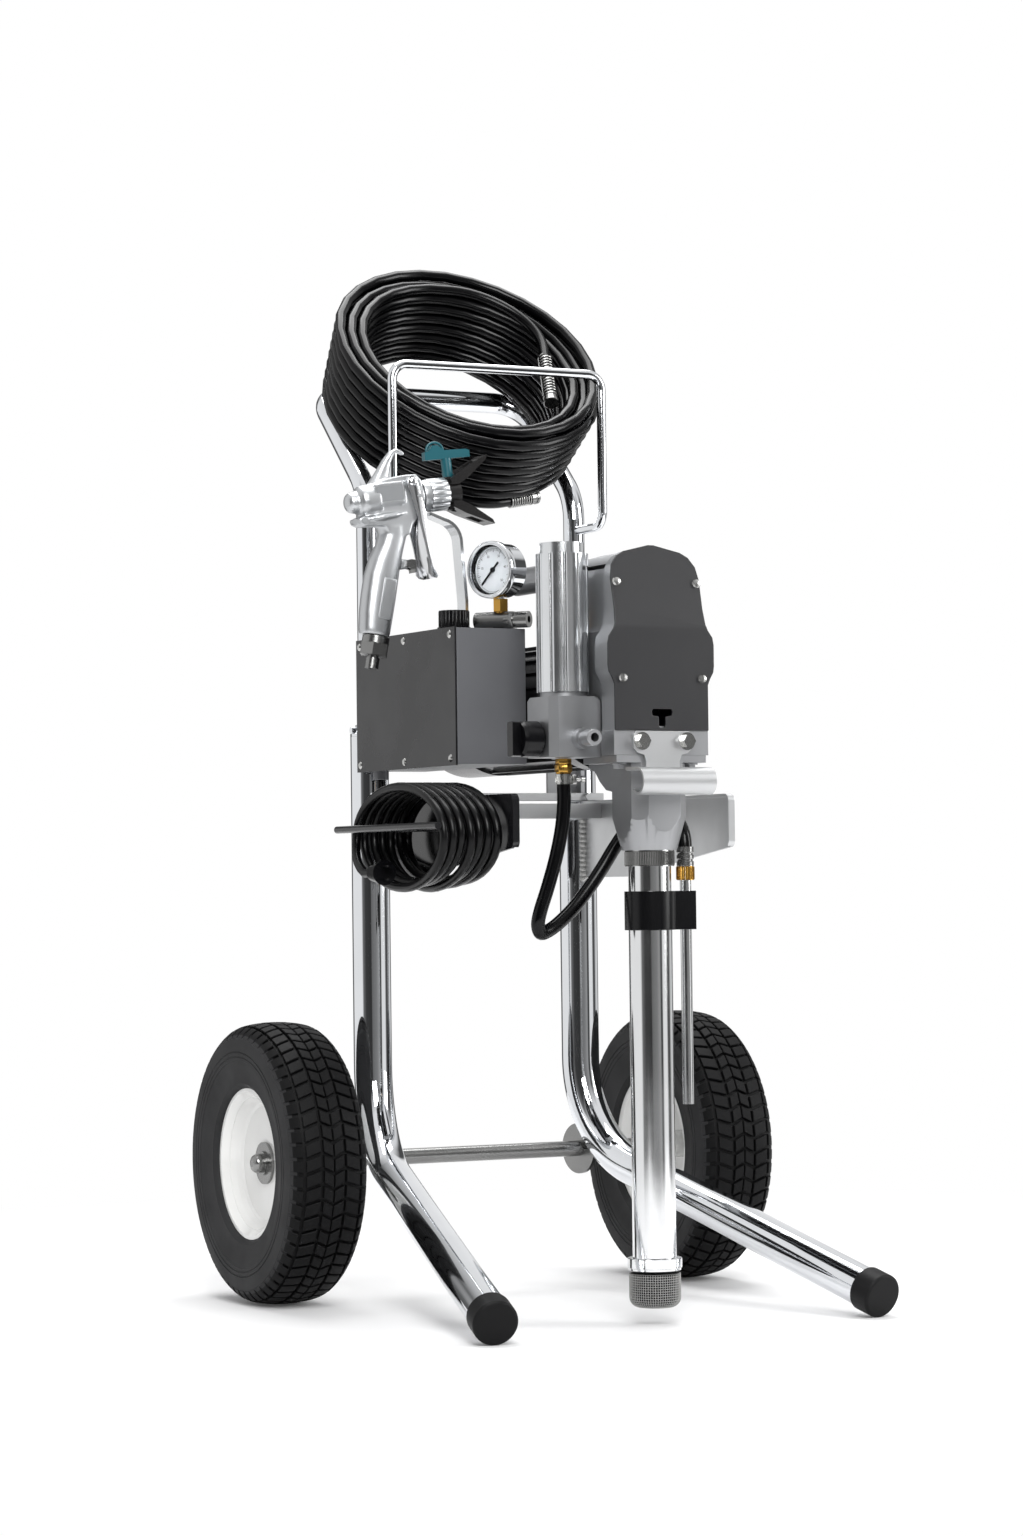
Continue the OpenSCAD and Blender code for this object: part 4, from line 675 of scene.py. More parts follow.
# %% The tyre's section
TYRE_R = 140
TYRE_CROWN = [(TYRE_R, 0), (139.7, 10), (138.6, 20), (137.3, 27), (135.8, 31), (132.6, 35.2),
              (128.6, 38.6), (124.4, 40.7)]
SHOULDER_R = 129
TREAD_DEPTH = 4.2
PITCHES = 58
PITCH_MM = math.tau * TYRE_R / PITCHES
TREAD_ROWS = [(0.7, 10.6), (13.4, 28.6), (31.4, 46)]
TREAD_LEAN = [(0, 3.0), (12, -3.0), (30, 3.2), (47, 1.0)]


def crown(across):
    """Radius, distance from the middle and outward direction at a developed distance."""
    left = abs(across)
    for (r0, u0), (r1, u1) in zip(TYRE_CROWN, TYRE_CROWN[1:]):
        step = math.hypot(r1 - r0, u1 - u0)
        if left <= step or (r1, u1) == TYRE_CROWN[-1]:
            share = min(left / step, 1.0)
            out = Vector(((u1 - u0) / step, (r0 - r1) / step))
            side = 1 if across >= 0 else -1
            return (r0 + (r1 - r0) * share, side * (u0 + (u1 - u0) * share), out[0],
                    side * out[1])
        left -= step


def lean(across):
    """How far along the tread a row is shifted at a developed distance."""
    a = abs(across)
    for (a0, l0), (a1, l1) in zip(TREAD_LEAN, TREAD_LEAN[1:]):
        if a <= a1:
            return l0 + (l1 - l0) * (a - a0) / (a1 - a0)
    return TREAD_LEAN[-1][1]


def wrapped(p):
    """A point of the flat tread (across, along, height in mm) on the wheel's own axes."""
    r, u, out_r, out_u = crown(p.x)
    r += out_r * (p.z - TREAD_DEPTH)
    u += out_u * (p.z - TREAD_DEPTH)
    a = (p.y + lean(p.x)) / TYRE_R
    return Vector((u, r * math.sin(a), r * math.cos(a)))


def carcass(bm):
    """The tyre without its tread blocks, spun round X."""
    floor_line = [(r - TREAD_DEPTH + 0.4, u) for r, u in TYRE_CROWN[:5]]
    wall = [(129.5, 35.2), (126.4, 38.4), (124.4, 40.6), (120, 41.5), (116, 41.8), (112.2, 41.9),
            (111.6, 41.1), (110.8, 41.1), (110.2, 41.9), (107.6, 41.8), (107, 41), (106.2, 41),
            (105.6, 41.6), (103, 41.3), (102.4, 40.5), (101.4, 40.4), (96, 38.6), (90, 37.2),
            (84, 36.4), (80, 36.6), (77.4, 34.6), (75.4, 31.2), (75.2, 27.8), (66.3, 23.8)]
    half = floor_line + wall
    loop = [(r, -u) for r, u in reversed(half[1:])] + half
    verts = [bm.verts.new((u, 0, r)) for r, u in loop]
    edges = [bm.edges.new(pair) for pair in zip(verts, verts[1:] + verts[:1])]
    bmesh.ops.spin(bm, geom=verts + edges, cent=(0, 0, 0), axis=(1, 0, 0), angle=math.tau,
                   steps=120, use_merge=True)


print("tread pitch, mm:", round(PITCH_MM, 2))

# %% [markdown]
# One pitch of the tread has three blocks on each side of the middle. Each block is a small grid,
# so that it can bend with the crown.

# %% The blocks of one pitch
def tread_pitch(bm):
    """The six blocks of one pitch, wrapped round the crown at the top of the wheel."""
    for side in (-1, 1):
        for low, high in TREAD_ROWS:
            length = PITCH_MM - (3.4 if low < 20 else 3.8)
            grid = bmesh.ops.create_grid(bm, x_segments=4, y_segments=3, size=0.5)
            for v in grid["verts"]:
                v.co = Vector((side * (low + (v.co.x + 0.5) * (high - low)), v.co.y * length, 0))
            faces = list({f for v in grid["verts"] for f in v.link_faces})
            grown = bmesh.ops.extrude_face_region(bm, geom=faces)["geom"]
            bmesh.ops.translate(bm, verts=points_of(grown), vec=(0, 0, TREAD_DEPTH))
            bm.normal_update()
            rim = [e for e in grown if isinstance(e, bmesh.types.BMEdge)
                   and e.calc_face_angle(0) > 1]
            roll(bm, rim, 0.55, segments=1)
    for v in bm.verts:
        v.co = wrapped(v.co)


print("tread blocks:", 2 * len(TREAD_ROWS) * PITCHES)

# %% [markdown]
# Both tyres come from one function. The block pitch is spun with duplicates, the carcass joins
# it, and the left one is turned half round, so that both outer sides look the same.

# %% The two tyres
HUB_X, HUB_Y = 229, -8.5


def tyre(name, side, body):
    """A treaded tyre, whose flanks have their own rubber, painted paler as painted light."""
    tread = bmesh.new()
    tread_pitch(tread)
    bmesh.ops.spin(tread, geom=tread.verts[:] + tread.edges[:] + tread.faces[:], cent=(0, 0, 0),
                   axis=(1, 0, 0), angle=math.tau * (PITCHES - 1) / PITCHES, steps=PITCHES - 1,
                   use_duplicate=True)
    carcass(tread)
    hub = at(side * HUB_X, HUB_Y, TYRE_R)
    wheel = Matrix.Translation(hub) @ Matrix.Scale(MM, 4)
    if side < 0:
        wheel = wheel @ Matrix.Rotation(math.pi, 4, "Z")
    bmesh.ops.transform(tread, matrix=wheel, verts=tread.verts)
    piece = new_piece(name + "_moulded", tread, tyre_rubber, body, "tyre", smooth_degrees=28)
    # Faces inside the shoulder's radius take the paler flank rubber: painted light on the tyre's
    # sides.
    piece.data.materials.append(painted_light_sidewall)
    for face in piece.data.polygons:
        out = face.center - hub
        face.material_index = int(math.hypot(out.y, out.z) < SHOULDER_R * MM)
    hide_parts(name)
    return piece


left_tyre = tyre("left_tyre", -1, "left_wheel")
tyre("right_tyre", 1, "right_wheel")
print("tyre faces:", len(left_tyre.data.polygons))

# %% [markdown]
# The gauge's dial is printed: a ring of fine marks, one long mark in every five, and plain
# numbers. The marks are thin boxes, made upright and turned into place like a clock's hands.

# %% The dial's place and its marks
GAUGE = at(-84.49, -231.49, 718)
FACING = unit(-0.9205, -0.3907, 0)
DIAL_RIGHT = UP.cross(FACING).normalized()
DIAL_TURN = Matrix((DIAL_RIGHT, UP, FACING)).transposed().to_4x4()
DIAL_AT = Matrix.Translation(GAUGE + FACING * 9.86 * MM) @ DIAL_TURN
SWEEP = 135
MARKS, MARK_RING = 50, 20.6


def dial_matrix(share, radius_mm, upright=False):
    """A place on the dial, this share of the way round its scale."""
    a = math.radians(SWEEP * (2 * share - 1))
    spot = Matrix.Translation((radius_mm * MM * math.sin(a), radius_mm * MM * math.cos(a), 0))
    return DIAL_AT @ spot @ (Matrix() if upright else Matrix.Rotation(-a, 4, "Z"))


marks = bmesh.new()
for i in range(MARKS + 1):
    wide, tall = (0.4, 2.0) if i % 5 else (0.7, 3.2)
    block(marks, dial_matrix(i / MARKS, MARK_RING - tall / 2)
          @ Matrix.Diagonal((wide, tall, 0.1, 1)))
ring = bmesh.ops.create_circle(marks, segments=96, radius=(MARK_RING + 0.3) * MM)["verts"]
outer = points_of(bmesh.ops.extrude_edge_only(marks, edges=edges_at(ring))["geom"])
bmesh.ops.scale(marks, verts=outer, vec=(1.015, 1.015, 1))
bmesh.ops.transform(marks, verts=ring + outer, matrix=DIAL_AT)
new_piece("gauge_dial_marks", marks, dial_black, "cart", "black_plastic")
print("marks on the dial:", MARKS + 1)

# %% [markdown]
# The numbers are text that is made a mesh before it is placed, and stand upright on the dial.
# The white plate under them is a plain disc, a hair's breadth behind.

# %% The dial's numbers and plate
NUMBERS, NUMBER_RING, NUMBER_HEIGHT = 5, 14.6, 3.4
DIAL_R = 23.6


def printed_number(text, share):
    """A number on the dial, as a mesh."""
    curve = bpy.data.curves.new("number_" + text, "FONT")
    curve.body = text
    curve.size = NUMBER_HEIGHT * MM
    curve.extrude = 0.04 * MM
    curve.align_x = curve.align_y = "CENTER"
    source = bpy.data.objects.new("number", curve)
    scene.collection.objects.link(source)
    bpy.context.view_layer.update()
    mesh = bpy.data.meshes.new_from_object(source)
    bpy.data.objects.remove(source)
    mesh.transform(dial_matrix(share, NUMBER_RING, upright=True))
    mesh.materials.clear()
    mesh.materials.append(dial_black)
    piece = bpy.data.objects.new("dial_number_" + text, mesh)
    scene.collection.objects.link(piece)
    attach(piece, "cart")


for i in range(NUMBERS + 1):
    printed_number(str(i * 10), i / NUMBERS)

plate = bmesh.new()
disc = bmesh.ops.create_circle(plate, cap_ends=True, segments=96, radius=DIAL_R * MM)["verts"]
behind_marks = Matrix.Translation(FACING * -0.03 * MM) @ DIAL_AT
bmesh.ops.transform(plate, verts=disc, matrix=behind_marks)
new_piece("gauge_dial_plate", plate, dial_white, "cart", "white_paint")
print("numbers on the dial:", NUMBERS + 1)

# %% [markdown]
# The bezel round the glass is a rolled and plated ring, so its section is a half-round bead that
# turns in to hold the glass. A black rubber seal shows inside it.

# %% The gauge's bezel
bezel = bmesh.new()
turned(bezel, [(24.2, 9.2), (27.4, 9.2), (27.9, 10), (27.9, 15.4), (27.4, 16.8), (26.4, 17.4),
               (25.2, 17.2), (24.4, 16.2), (24.2, 14.8), (24.2, 9.2)], GAUGE, FACING, steps=96)
new_piece("gauge_bezel", bezel, chromed_tube, "cart", "chrome", smooth_degrees=50)
seal = bmesh.new()
turned(seal, [(22.6, 10.2), (24.1, 10.2), (24.1, 13.6), (23.4, 13.9), (22.6, 13.2), (22.6, 10.2)],
       GAUGE, FACING, steps=96)
new_piece("gauge_seal", seal, black_moulding, "cart", "black_plastic")
print("bezel made")

# %% [markdown]
# The inlet strainer is a cup of woven wire under a turned collar. The weave is real geometry: a
# spun cup whose faces a Wireframe modifier turns into wires, over a dark core of painted shade
# that stands for the shadow inside the cup.

# %% The inlet strainer
PUMP_Y = -369
PUMP_LINE = at(0, PUMP_Y, 0)
STRAINER_R, CORNER_R, CORNER_Z = 24, 9, 25.5
MESH_MM = 2.25

underside = [(r, CORNER_Z - CORNER_R) for r in (3, 6, 9, 12)]
corner = [(STRAINER_R - CORNER_R + CORNER_R * math.sin(math.radians(a)),
           CORNER_Z - CORNER_R * math.cos(math.radians(a))) for a in range(0, 91, 15)]
wall = [(STRAINER_R, CORNER_Z + MESH_MM * k) for k in range(1, 11)]
cup = bmesh.new()
turned(cup, underside + corner + wall, PUMP_LINE, steps=64)
cup_piece = new_piece("strainer_wire_cup", cup, galvanised_plate, "cart", "steel")
wires = cup_piece.modifiers.new("wires", "WIREFRAME")
wires.thickness = 0.75 * MM
wires.use_even_offset = False
# A dark core inside the wires: painted shade.
core = bmesh.new()
turned(core, [(0, 17.6), (15, 17.6), (20.5, 20), (22.8, 26), (22.8, 48), (0, 48)], PUMP_LINE)
new_piece("strainer_painted_shade_core", core, strainer_painted_shade, "cart", "black_plastic")
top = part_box("strainer")[1].z / MM
collar = bmesh.new()
turned(collar, [(20.8, top), (25.2, top), (25.8, top - 0.6), (25.8, top - 9), (24.8, top - 9.6),
                (24.8, top - 11.4), (20, top - 11.4), (20.8, top)], PUMP_LINE, steps=72)
strainer_collar = new_piece("strainer_collar", collar, polished_stainless, "cart", "steel")
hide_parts("strainer")
print("strainer made, collar top at", round(top, 1))

# %% [markdown]
# The drain hose hangs in a deep loop from the brass fitting under the filter block, passes
# behind the pump and ends in a crimped ferrule on the steel drain tube.

# %% The drain hose
DRAIN_R = 6.6
DRAIN_X, DRAIN_Y, DRAIN_OUT_X = -75.2, -340, 38.6
drain_points = [Vector(p) for p in [
    (DRAIN_X, DRAIN_Y, 519), (DRAIN_X, DRAIN_Y, 506), (-75, DRAIN_Y, 492), (-77, -339, 468),
    (-83, -338, 440), (-91, -336, 412), (-98, -334, 390), (-100, -332, 377), (-96, -329, 368.5),
    (-87, -326, 370), (-74, -323, 377), (-56, -320, 391), (-38, -318, 410), (-22, -317, 430),
    (-8, -316, 449), (6, -317, 467), (18, -321, 480), (28, -331, 486.5), (34.5, -344, 483),
    (37.6, -357, 473), (38.6, -366, 461), (DRAIN_OUT_X, PUMP_Y, 449), (DRAIN_OUT_X, PUMP_Y, 436)]]
drain_line = [at(*p) for p in rounded(drain_points, 5)]
drain_hose = tube_curve("drain_hose_tube", drain_line, DRAIN_R, hose_cover, "cart",
                        sides=6)
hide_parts("drain_hose")
print("drain hose, metres:", round(route_length(drain_line), 3))

# %% [markdown]
# The fitting is two brass hexagons on a barb. A worm-drive band clamp holds the hose on it: a
# thin band with slanted slits, a pressed house for the worm, and the worm's screw.

# %% The drain's fitting and its clamp
fitting = bmesh.new()
hexagon(fitting, 17, 7.2, at(DRAIN_X, DRAIN_Y, 519.4), 0.7)
hexagon(fitting, 15.6, 5.6, at(DRAIN_X, DRAIN_Y, 526.6), 0.6)
turned(fitting, [(0, 518), (7.4, 518), (7.4, 519.6), (0, 519.6)], at(DRAIN_X, DRAIN_Y, 0))
brass_fitting = new_piece("drain_brass_fitting", fitting, yellow_brass, "cart", "brass")
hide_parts("drain_barb")

BAND_R, BAND_Z, SLITS = 7.5, 512.7, 9
band = bmesh.new()
turned(band, [(6.7, 508), (BAND_R, 508), (BAND_R, 517.4), (6.7, 517.4), (6.7, 508)],
       at(DRAIN_X, DRAIN_Y, 0), steps=64)
for k in range(SLITS):
    a = math.radians(150 + 22 * k)
    place = at(DRAIN_X + (BAND_R - 0.05) * math.cos(a), DRAIN_Y + (BAND_R - 0.05) * math.sin(a),
               BAND_Z)
    block(band, Matrix.Translation(place) @ Matrix.Rotation(a, 4, "Z")
          @ Matrix.Rotation(math.radians(18), 4, "X") @ Matrix.Diagonal((0.5, 0.9, 6.2, 1)))
house = block(band, Matrix.Translation(at(DRAIN_X + 9.6, DRAIN_Y - 2, BAND_Z))
              @ Matrix.Diagonal((5.4, 7.6, 9.4, 1)))
roll(band, edges_at(house), 0.8 * MM)
settle(band)
turned(band, [(0, 0), (2.6, 0), (2.6, 4.6), (1.4, 4.8), (1.4, 6.6), (3.2, 6.8), (3.4, 9.6),
              (2.4, 10.4), (0, 10.4)], at(DRAIN_X + 10, DRAIN_Y - 3, BAND_Z),
       unit(0.96, -0.28, 0), steps=24)
new_piece("drain_band_clamp", band, nickel_plate, "cart", "chrome")
print("slits in the band:", SLITS)

# %% [markdown]
# ## Castings
#
# A casting has no sharp edge anywhere. A modelled solid is a shell of loose triangles, so its
# copy is merged and its flat faces are joined first, and then a bevel rolls every edge sharper
# than forty degrees. Pressed sheet gets a finer bevel than sand-cast metal.

# %% Soft edges on the castings and pressings
BODY_OF = {node: body for body, names in frame["record"]["behaviour"]["bodies"].items()
           for node in names}
SLOT_OF = {row["node"]: row["material_slot"] for row in frame["record"]["subparts"]}
EDGE_MM = {"drive_housing": 2.2, "front_cover": 0.8, "pump_yoke": 1.6, "manifold": 1.6,
           "side_panel": 0.6, "control_box": 1.0, "pail_hook": 0.5, "left_side_plate": 1.0,
           "right_side_plate": 1.0, "cross_rail": 0.6, "tube_clip": 0.8}


def softened(name, width_mm):
    """A merged copy of a node with rolled edges, which stands for it."""
    bm = bmesh.new()
    bm.from_mesh(NODES[name].data)
    bmesh.ops.remove_doubles(bm, verts=bm.verts, dist=2e-6)
    bmesh.ops.dissolve_limit(bm, angle_limit=math.radians(0.6), verts=bm.verts, edges=bm.edges)
    sharp = [e for e in bm.edges if len(e.link_faces) == 2
             and e.calc_face_angle(0) > math.radians(40)]
    roll(bm, sharp, width_mm * MM, clamp_overlap=True)
    piece = new_piece(name + "_rolled", bm, NODES[name].data.materials[0], BODY_OF[name],
                      SLOT_OF[name], smooth_degrees=32)
    even = piece.modifiers.new("even faces", "WEIGHTED_NORMAL")
    even.weight, even.keep_sharp = 100, True
    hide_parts(name)


for name, width in EDGE_MM.items():
    softened(name, width)
print("rolled edges on", len(EDGE_MM), "nodes")

# %% [markdown]
# ## The gun
#
# The gun is a polished aluminium casting. Its parts are drawn roughly on the gun's own axes: X
# runs along the barrel and Z points up. A voxel remesh melts them together and a smoothing pass
# rounds every joint, as wax would be before casting. The grip is lofted: one ring is extruded
# again and again, and each new ring is set to its own place, lean and size.

# %% Helpers on the gun's own axes
GUN = (Matrix.Translation(at(-208.5, -181, 785)) @ Matrix.Rotation(math.radians(-7), 4, "Y")
       @ Matrix.Scale(MM, 4))
ALONG_X = Vector((1, 0, 0))


def gun_piece(name, bm, material, body="cart", slot="cast", **settings):
    """A piece that was drawn on the gun's axes, set in the frame."""
    bmesh.ops.transform(bm, matrix=GUN, verts=bm.verts)
    return new_piece(name, bm, material, body, slot, **settings)


def slab(bm, outline, width, middle=0.0):
    """A plate of the given width across the gun, from its outline in the side view."""
    verts = [bm.verts.new((x, middle - width / 2, z)) for x, z in outline]
    grown = bmesh.ops.extrude_face_region(bm, geom=[bm.faces.new(verts)])["geom"]
    bmesh.ops.translate(bm, verts=points_of(grown), vec=(0, width, 0))


def loft(bm, stations, sides=40):
    """A limb through (x, z, depth, width, lean) stations, with slightly squared sections."""
    def ring_matrix(station):
        x, z, depth, width, lean_deg = station
        return (Matrix.Translation((x, 0, z)) @ Matrix.Rotation(math.radians(lean_deg), 4, "Y")
                @ Matrix.Diagonal((depth / 2, width / 2, 1, 1)))

    ring = bmesh.ops.create_circle(bm, cap_ends=True, segments=sides, radius=1)["verts"]
    for v in ring:
        v.co.x = math.copysign(abs(v.co.x) ** 0.8, v.co.x)
        v.co.y = math.copysign(abs(v.co.y) ** 0.8, v.co.y)
    here = ring_matrix(stations[0])
    bmesh.ops.transform(bm, matrix=here, verts=ring)
    cap = ring[0].link_faces[0]
    for station in stations[1:]:
        grown = bmesh.ops.extrude_face_region(bm, geom=[cap])["geom"]
        cap = next(g for g in grown if isinstance(g, bmesh.types.BMFace))
        there = ring_matrix(station)
        bmesh.ops.transform(bm, matrix=there @ here.inverted(), verts=cap.verts[:])
        here = there


def spun(bm, profile, where, axis=ALONG_X, steps=48):
    """turned() for a mesh in millimetres on the gun's axes. It finds its own points, because
    the slabs and limbs round it are never tagged."""
    verts = [bm.verts.new((r, 0, d)) for r, d in profile]
    edges = [bm.edges.new(pair) for pair in zip(verts, verts[1:])]
    made = bmesh.ops.spin(bm, geom=verts + edges, cent=(0, 0, 0), axis=(0, 0, 1), angle=math.tau,
                          steps=steps, use_merge=True)["geom_last"]
    reach = set(verts + points_of(made))
    grow = list(reach)
    while grow:
        for e in grow.pop().link_edges:
            for v in e.verts:
                if v not in reach:
                    reach.add(v)
                    grow.append(v)
    bmesh.ops.transform(bm, matrix=Matrix.Translation(where) @ pointing(axis), verts=list(reach))


print("the gun's helpers ready")

# %% [markdown]
# Badges and panels are thin plates with round corners. The casting's parts are gathered in one
# mesh, as in wax, before they are melted together.

# %% Plates, and the melting of the casting
def rounded_plate(bm, size, radius, matrix):
    """A thin plate (x, y thickness, z) with round corners and a softened rim."""
    box = bmesh.ops.create_cube(bm, size=1)["verts"]
    bmesh.ops.transform(bm, matrix=Matrix.Diagonal((*size, 1)), verts=box)
    corners = [e for e in edges_at(box)
               if abs((e.verts[0].co - e.verts[1].co).y) > size[1] / 2]
    roll(bm, corners, radius, segments=5)
    rim = [e for e in edges_at([v for v in bm.verts if not v.tag])
           if all(v.co.y < 0 for v in e.verts) and e.calc_face_angle(0) > 1]
    roll(bm, rim, size[1] * 0.3)
    move_new(bm, matrix)


def melted(name, bm, voxel_mm, passes):
    """The parts of one casting, melted together and smoothed."""
    bmesh.ops.recalc_face_normals(bm, faces=bm.faces)
    mesh = bpy.data.meshes.new(name + "_wax")
    bm.to_mesh(mesh)
    bm.free()
    wax = bpy.data.objects.new(name + "_wax", mesh)
    scene.collection.objects.link(wax)
    remesh = wax.modifiers.new("melt", "REMESH")
    remesh.mode = "VOXEL"
    remesh.voxel_size = voxel_mm
    relax = wax.modifiers.new("relax", "SMOOTH")
    relax.factor, relax.iterations = 0.5, passes
    bpy.context.view_layer.update()
    cast = bpy.data.meshes.new_from_object(wax.evaluated_get(
        bpy.context.evaluated_depsgraph_get()))
    bpy.data.objects.remove(wax)
    out = bmesh.new()
    out.from_mesh(cast)
    return out


print("plate and casting helpers ready")

# %% [markdown]
# The barrel and its ends are spun, and two slabs form the frame round them. The shelf over the
# hand, the hook on top and the grip are lofted. The last slab is the stop on the grip's front.

# %% The gun's casting
wax = bmesh.new()
spun(wax, [(0, -2.6), (4, -2.2), (7.5, -0.6), (9.8, 2), (10.6, 6), (10.9, 9.4), (13.6, 10.8),
           (15.4, 13.2), (16.2, 17), (16.2, 30), (14.5, 31.5), (0, 31.5)], (-15, 0, 0))
spun(wax, [(0, 0), (15.2, 0), (15.2, 9.3), (12, 10), (12, 24), (0, 24)], (53, 0, 0))
spun(wax, [(0, 0), (14.2, 0), (14.2, 26), (0, 26)], (12, 0, 0))
slab(wax, [(10, -17), (10, 14), (19, 18.5), (32, 20.6), (46, 21.6), (57, 21), (62.5, 14),
           (62.5, -13), (56, -18), (47, -27), (43, -36), (27, -40), (17, -26), (6, -24.5),
           (-4, -24), (-9, -21), (-10, -16.5), (-4, -14)], 24)
slab(wax, [(12, -4.6), (12, 15), (41, 15.4), (41, -4.6)], 27.4)
loft(wax, [(-9.5, -18.6, 7, 13, 90), (0, -18, 9, 25, 90), (16, -17, 9.5, 31, 90),
           (30, -16, 8, 29, 90), (41, -15, 3, 25, 90)])
loft(wax, [(18, 10, 26, 18, 10), (25, 24, 15, 11, 24), (31.5, 36, 9.5, 9, 32),
           (37, 43, 6.6, 9, 50), (43, 46.4, 5, 9, 92), (48.6, 43.8, 3.4, 8.4, 128),
           (50.2, 41.6, 2.6, 8, 140)])
GRIP = [(29, -27, 33, 25, 8), (28.4, -35, 27, 25, 12), (23.2, -47, 27.4, 25.5, 22),
        (16.4, -61, 31.4, 26, 24), (11, -75, 34.2, 26, 20), (5.6, -93, 34.4, 26, 17),
        (0.8, -110, 33.2, 25.6, 16.5), (-3.1, -126, 30.6, 25, 16.5), (-3.9, -129.4, 28.6, 23, 16.5)]
loft(wax, GRIP)
slab(wax, [(26, -59), (39, -59.6), (43, -61.5), (44.4, -64.5), (42.6, -67.6), (38, -68.8),
           (26, -69)], 8)
gun_casting = gun_piece("gun_casting", melted("gun_casting", wax, 0.95, 9), polished_casting,
                        smooth_degrees=60)
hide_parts("gun_body")
print("gun casting faces:", len(gun_casting.data.polygons))

# %% [markdown]
# A bare badge in a raised frame lies on the gun's side. The grip has a raised panel of two
# steps, which leans with the grip.

# %% The gun's bare badge and the grip's raised panel
badge = bmesh.new()
rounded_plate(badge, (31, 1.6, 17.6), 3, Matrix.Translation((25, -13.9, 5.2)))
gun_piece("gun_badge_frame", badge, polished_casting)
face_plate = bmesh.new()
rounded_plate(face_plate, (28.6, 1.2, 15.2), 2.4, Matrix.Translation((25, -14.3, 5.2)))
gun_piece("gun_badge", face_plate, satin_badge)

RAKE = Matrix.Rotation(math.radians(17.5), 4, "Y")
grip_panel = bmesh.new()
rounded_plate(grip_panel, (13.5, 1.4, 40), 1.8, Matrix.Translation((9.6, -12.75, -95.5)) @ RAKE)
rounded_plate(grip_panel, (10.5, 1.2, 36.6), 1.2, Matrix.Translation((9.6, -13.25, -95.5)) @ RAKE)
gun_piece("gun_grip_panel", grip_panel, polished_casting)
print("badge and grip panel made")

# %% [markdown]
# The trigger is a steel pressing, a channel with two cheeks joined along their front. A rivet
# head on each cheek marks its pivot.

# %% The trigger
CHEEK = [(45.6, 16.5), (48.4, 20), (52.6, 20.2), (55, 17), (57, 6), (59, -6), (60.8, -17),
         (60, -30), (59.6, -44), (60.2, -58), (61, -69), (65.4, -78.6), (64, -80.8),
         (58.6, -79.4), (55.6, -76), (57, -60), (56, -49), (53.6, -30), (50.4, -14), (47.4, 2),
         (44.8, 11)]
FRONT = [(60.8, -17), (60, -30), (59.6, -44), (60.2, -58), (61, -69), (65.4, -78.6),
         (64, -80.8), (59.4, -70), (58.6, -58), (58, -44), (58.4, -30), (59, -17)]
pressing = bmesh.new()
for middle in (-14.3, 14.3):
    slab(pressing, CHEEK, 1.5, middle)
slab(pressing, FRONT, 28.4)
edges = [e for e in pressing.edges if e.is_manifold and e.calc_face_angle(0) > math.radians(60)]
roll(pressing, edges, 0.35)
for side in (-1, 1):
    spun(pressing, [(0, 0), (4.2, 0), (4.2, 1.1), (3.4, 2), (1.8, 2.5), (0, 2.6)],
         (50.5, side * 14.9, 14), Vector((0, side, 0)), steps=28)
gun_trigger = gun_piece("trigger_pressing", pressing, bright_pressing, "trigger",
                        SLOT_OF["gun_trigger"])
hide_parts("gun_trigger")
print("trigger made")

# %% [markdown]
# The retaining nut has shallow scallops all round, so that a hand can turn it. The tip key ends
# in an arch of round plastic rod.

# %% The scalloped nut and the tip key's arch
SCALLOPS, SCALLOP_RING = 14, 11.8
nut = bmesh.new()
spun(nut, [(12.2, 63), (15.2, 63), (15.6, 64), (15.6, 70), (14.4, 70.8), (14.4, 90), (12.2, 90.4),
           (12.2, 63)], (0, 0, 0), steps=64)
for k in range(SCALLOPS):
    a = math.tau * k / SCALLOPS
    spun(nut, [(0, 70.6), (4, 70.6), (4.6, 71.6), (4.6, 89), (4, 90), (0, 90)],
         (0, SCALLOP_RING * math.cos(a), SCALLOP_RING * math.sin(a)), steps=20)
gun_nut = gun_piece("gun_scalloped_nut", nut, turned_aluminium, "cart", SLOT_OF["gun_nut"])
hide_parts("gun_nut")

ARCH_STEPS = 14
arch = [GUN @ Vector((85 + 9 * math.cos(a), 0, 42.6 + 8.2 * math.sin(a)))
        for a in (math.pi * k / ARCH_STEPS for k in range(ARCH_STEPS + 1))]
tube_curve("tip_key_arch", arch, 1.25, teal_plastic, "key", sides=3)
print("scallops on the nut:", SCALLOPS)

# %% [markdown]
# ## Small hardware
#
# The pressure knob is ribbed for grip. The ribs stand upright round its rim, and each one ends
# in a blunt point.

# %% The knob's ribs
RIBS, RIB_HEIGHT, RIB_INSET = 24, 16.6, 2.5
low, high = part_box("pressure_knob")
knob_at, knob_r = (low + high) / 2, (high.x - low.x) / 2
knob = bmesh.new()
for k in range(RIBS):
    a = math.tau * k / RIBS
    spot = Vector((knob_at.x + (knob_r - RIB_INSET * MM) * math.cos(a),
                   knob_at.y + (knob_r - RIB_INSET * MM) * math.sin(a),
                   high.z - RIB_HEIGHT * MM))
    turned(knob, [(0, 0), (1.3, 0), (1.3, 15.4), (0.8, 16.4), (0, 16.7)], spot, steps=10)
new_piece("knob_ribs", knob, black_moulding, "knob", SLOT_OF["pressure_knob"])
print("knob radius, mm:", round(knob_r / MM, 1))

# %% [markdown]
# Under the yoke sits a knurled ring nut, and the drain line ends in a crimped ferrule and a
# knurled brass nut. A knurl is drawn as a ring of small upright ribs. The weld that joins the
# side plate to the leg is a row of overlapping beads, laid one after another.

# %% Knurls, ferrule and weld
TOOTH_R = 0.55
OUTLET = at(DRAIN_OUT_X, PUMP_Y, 0)


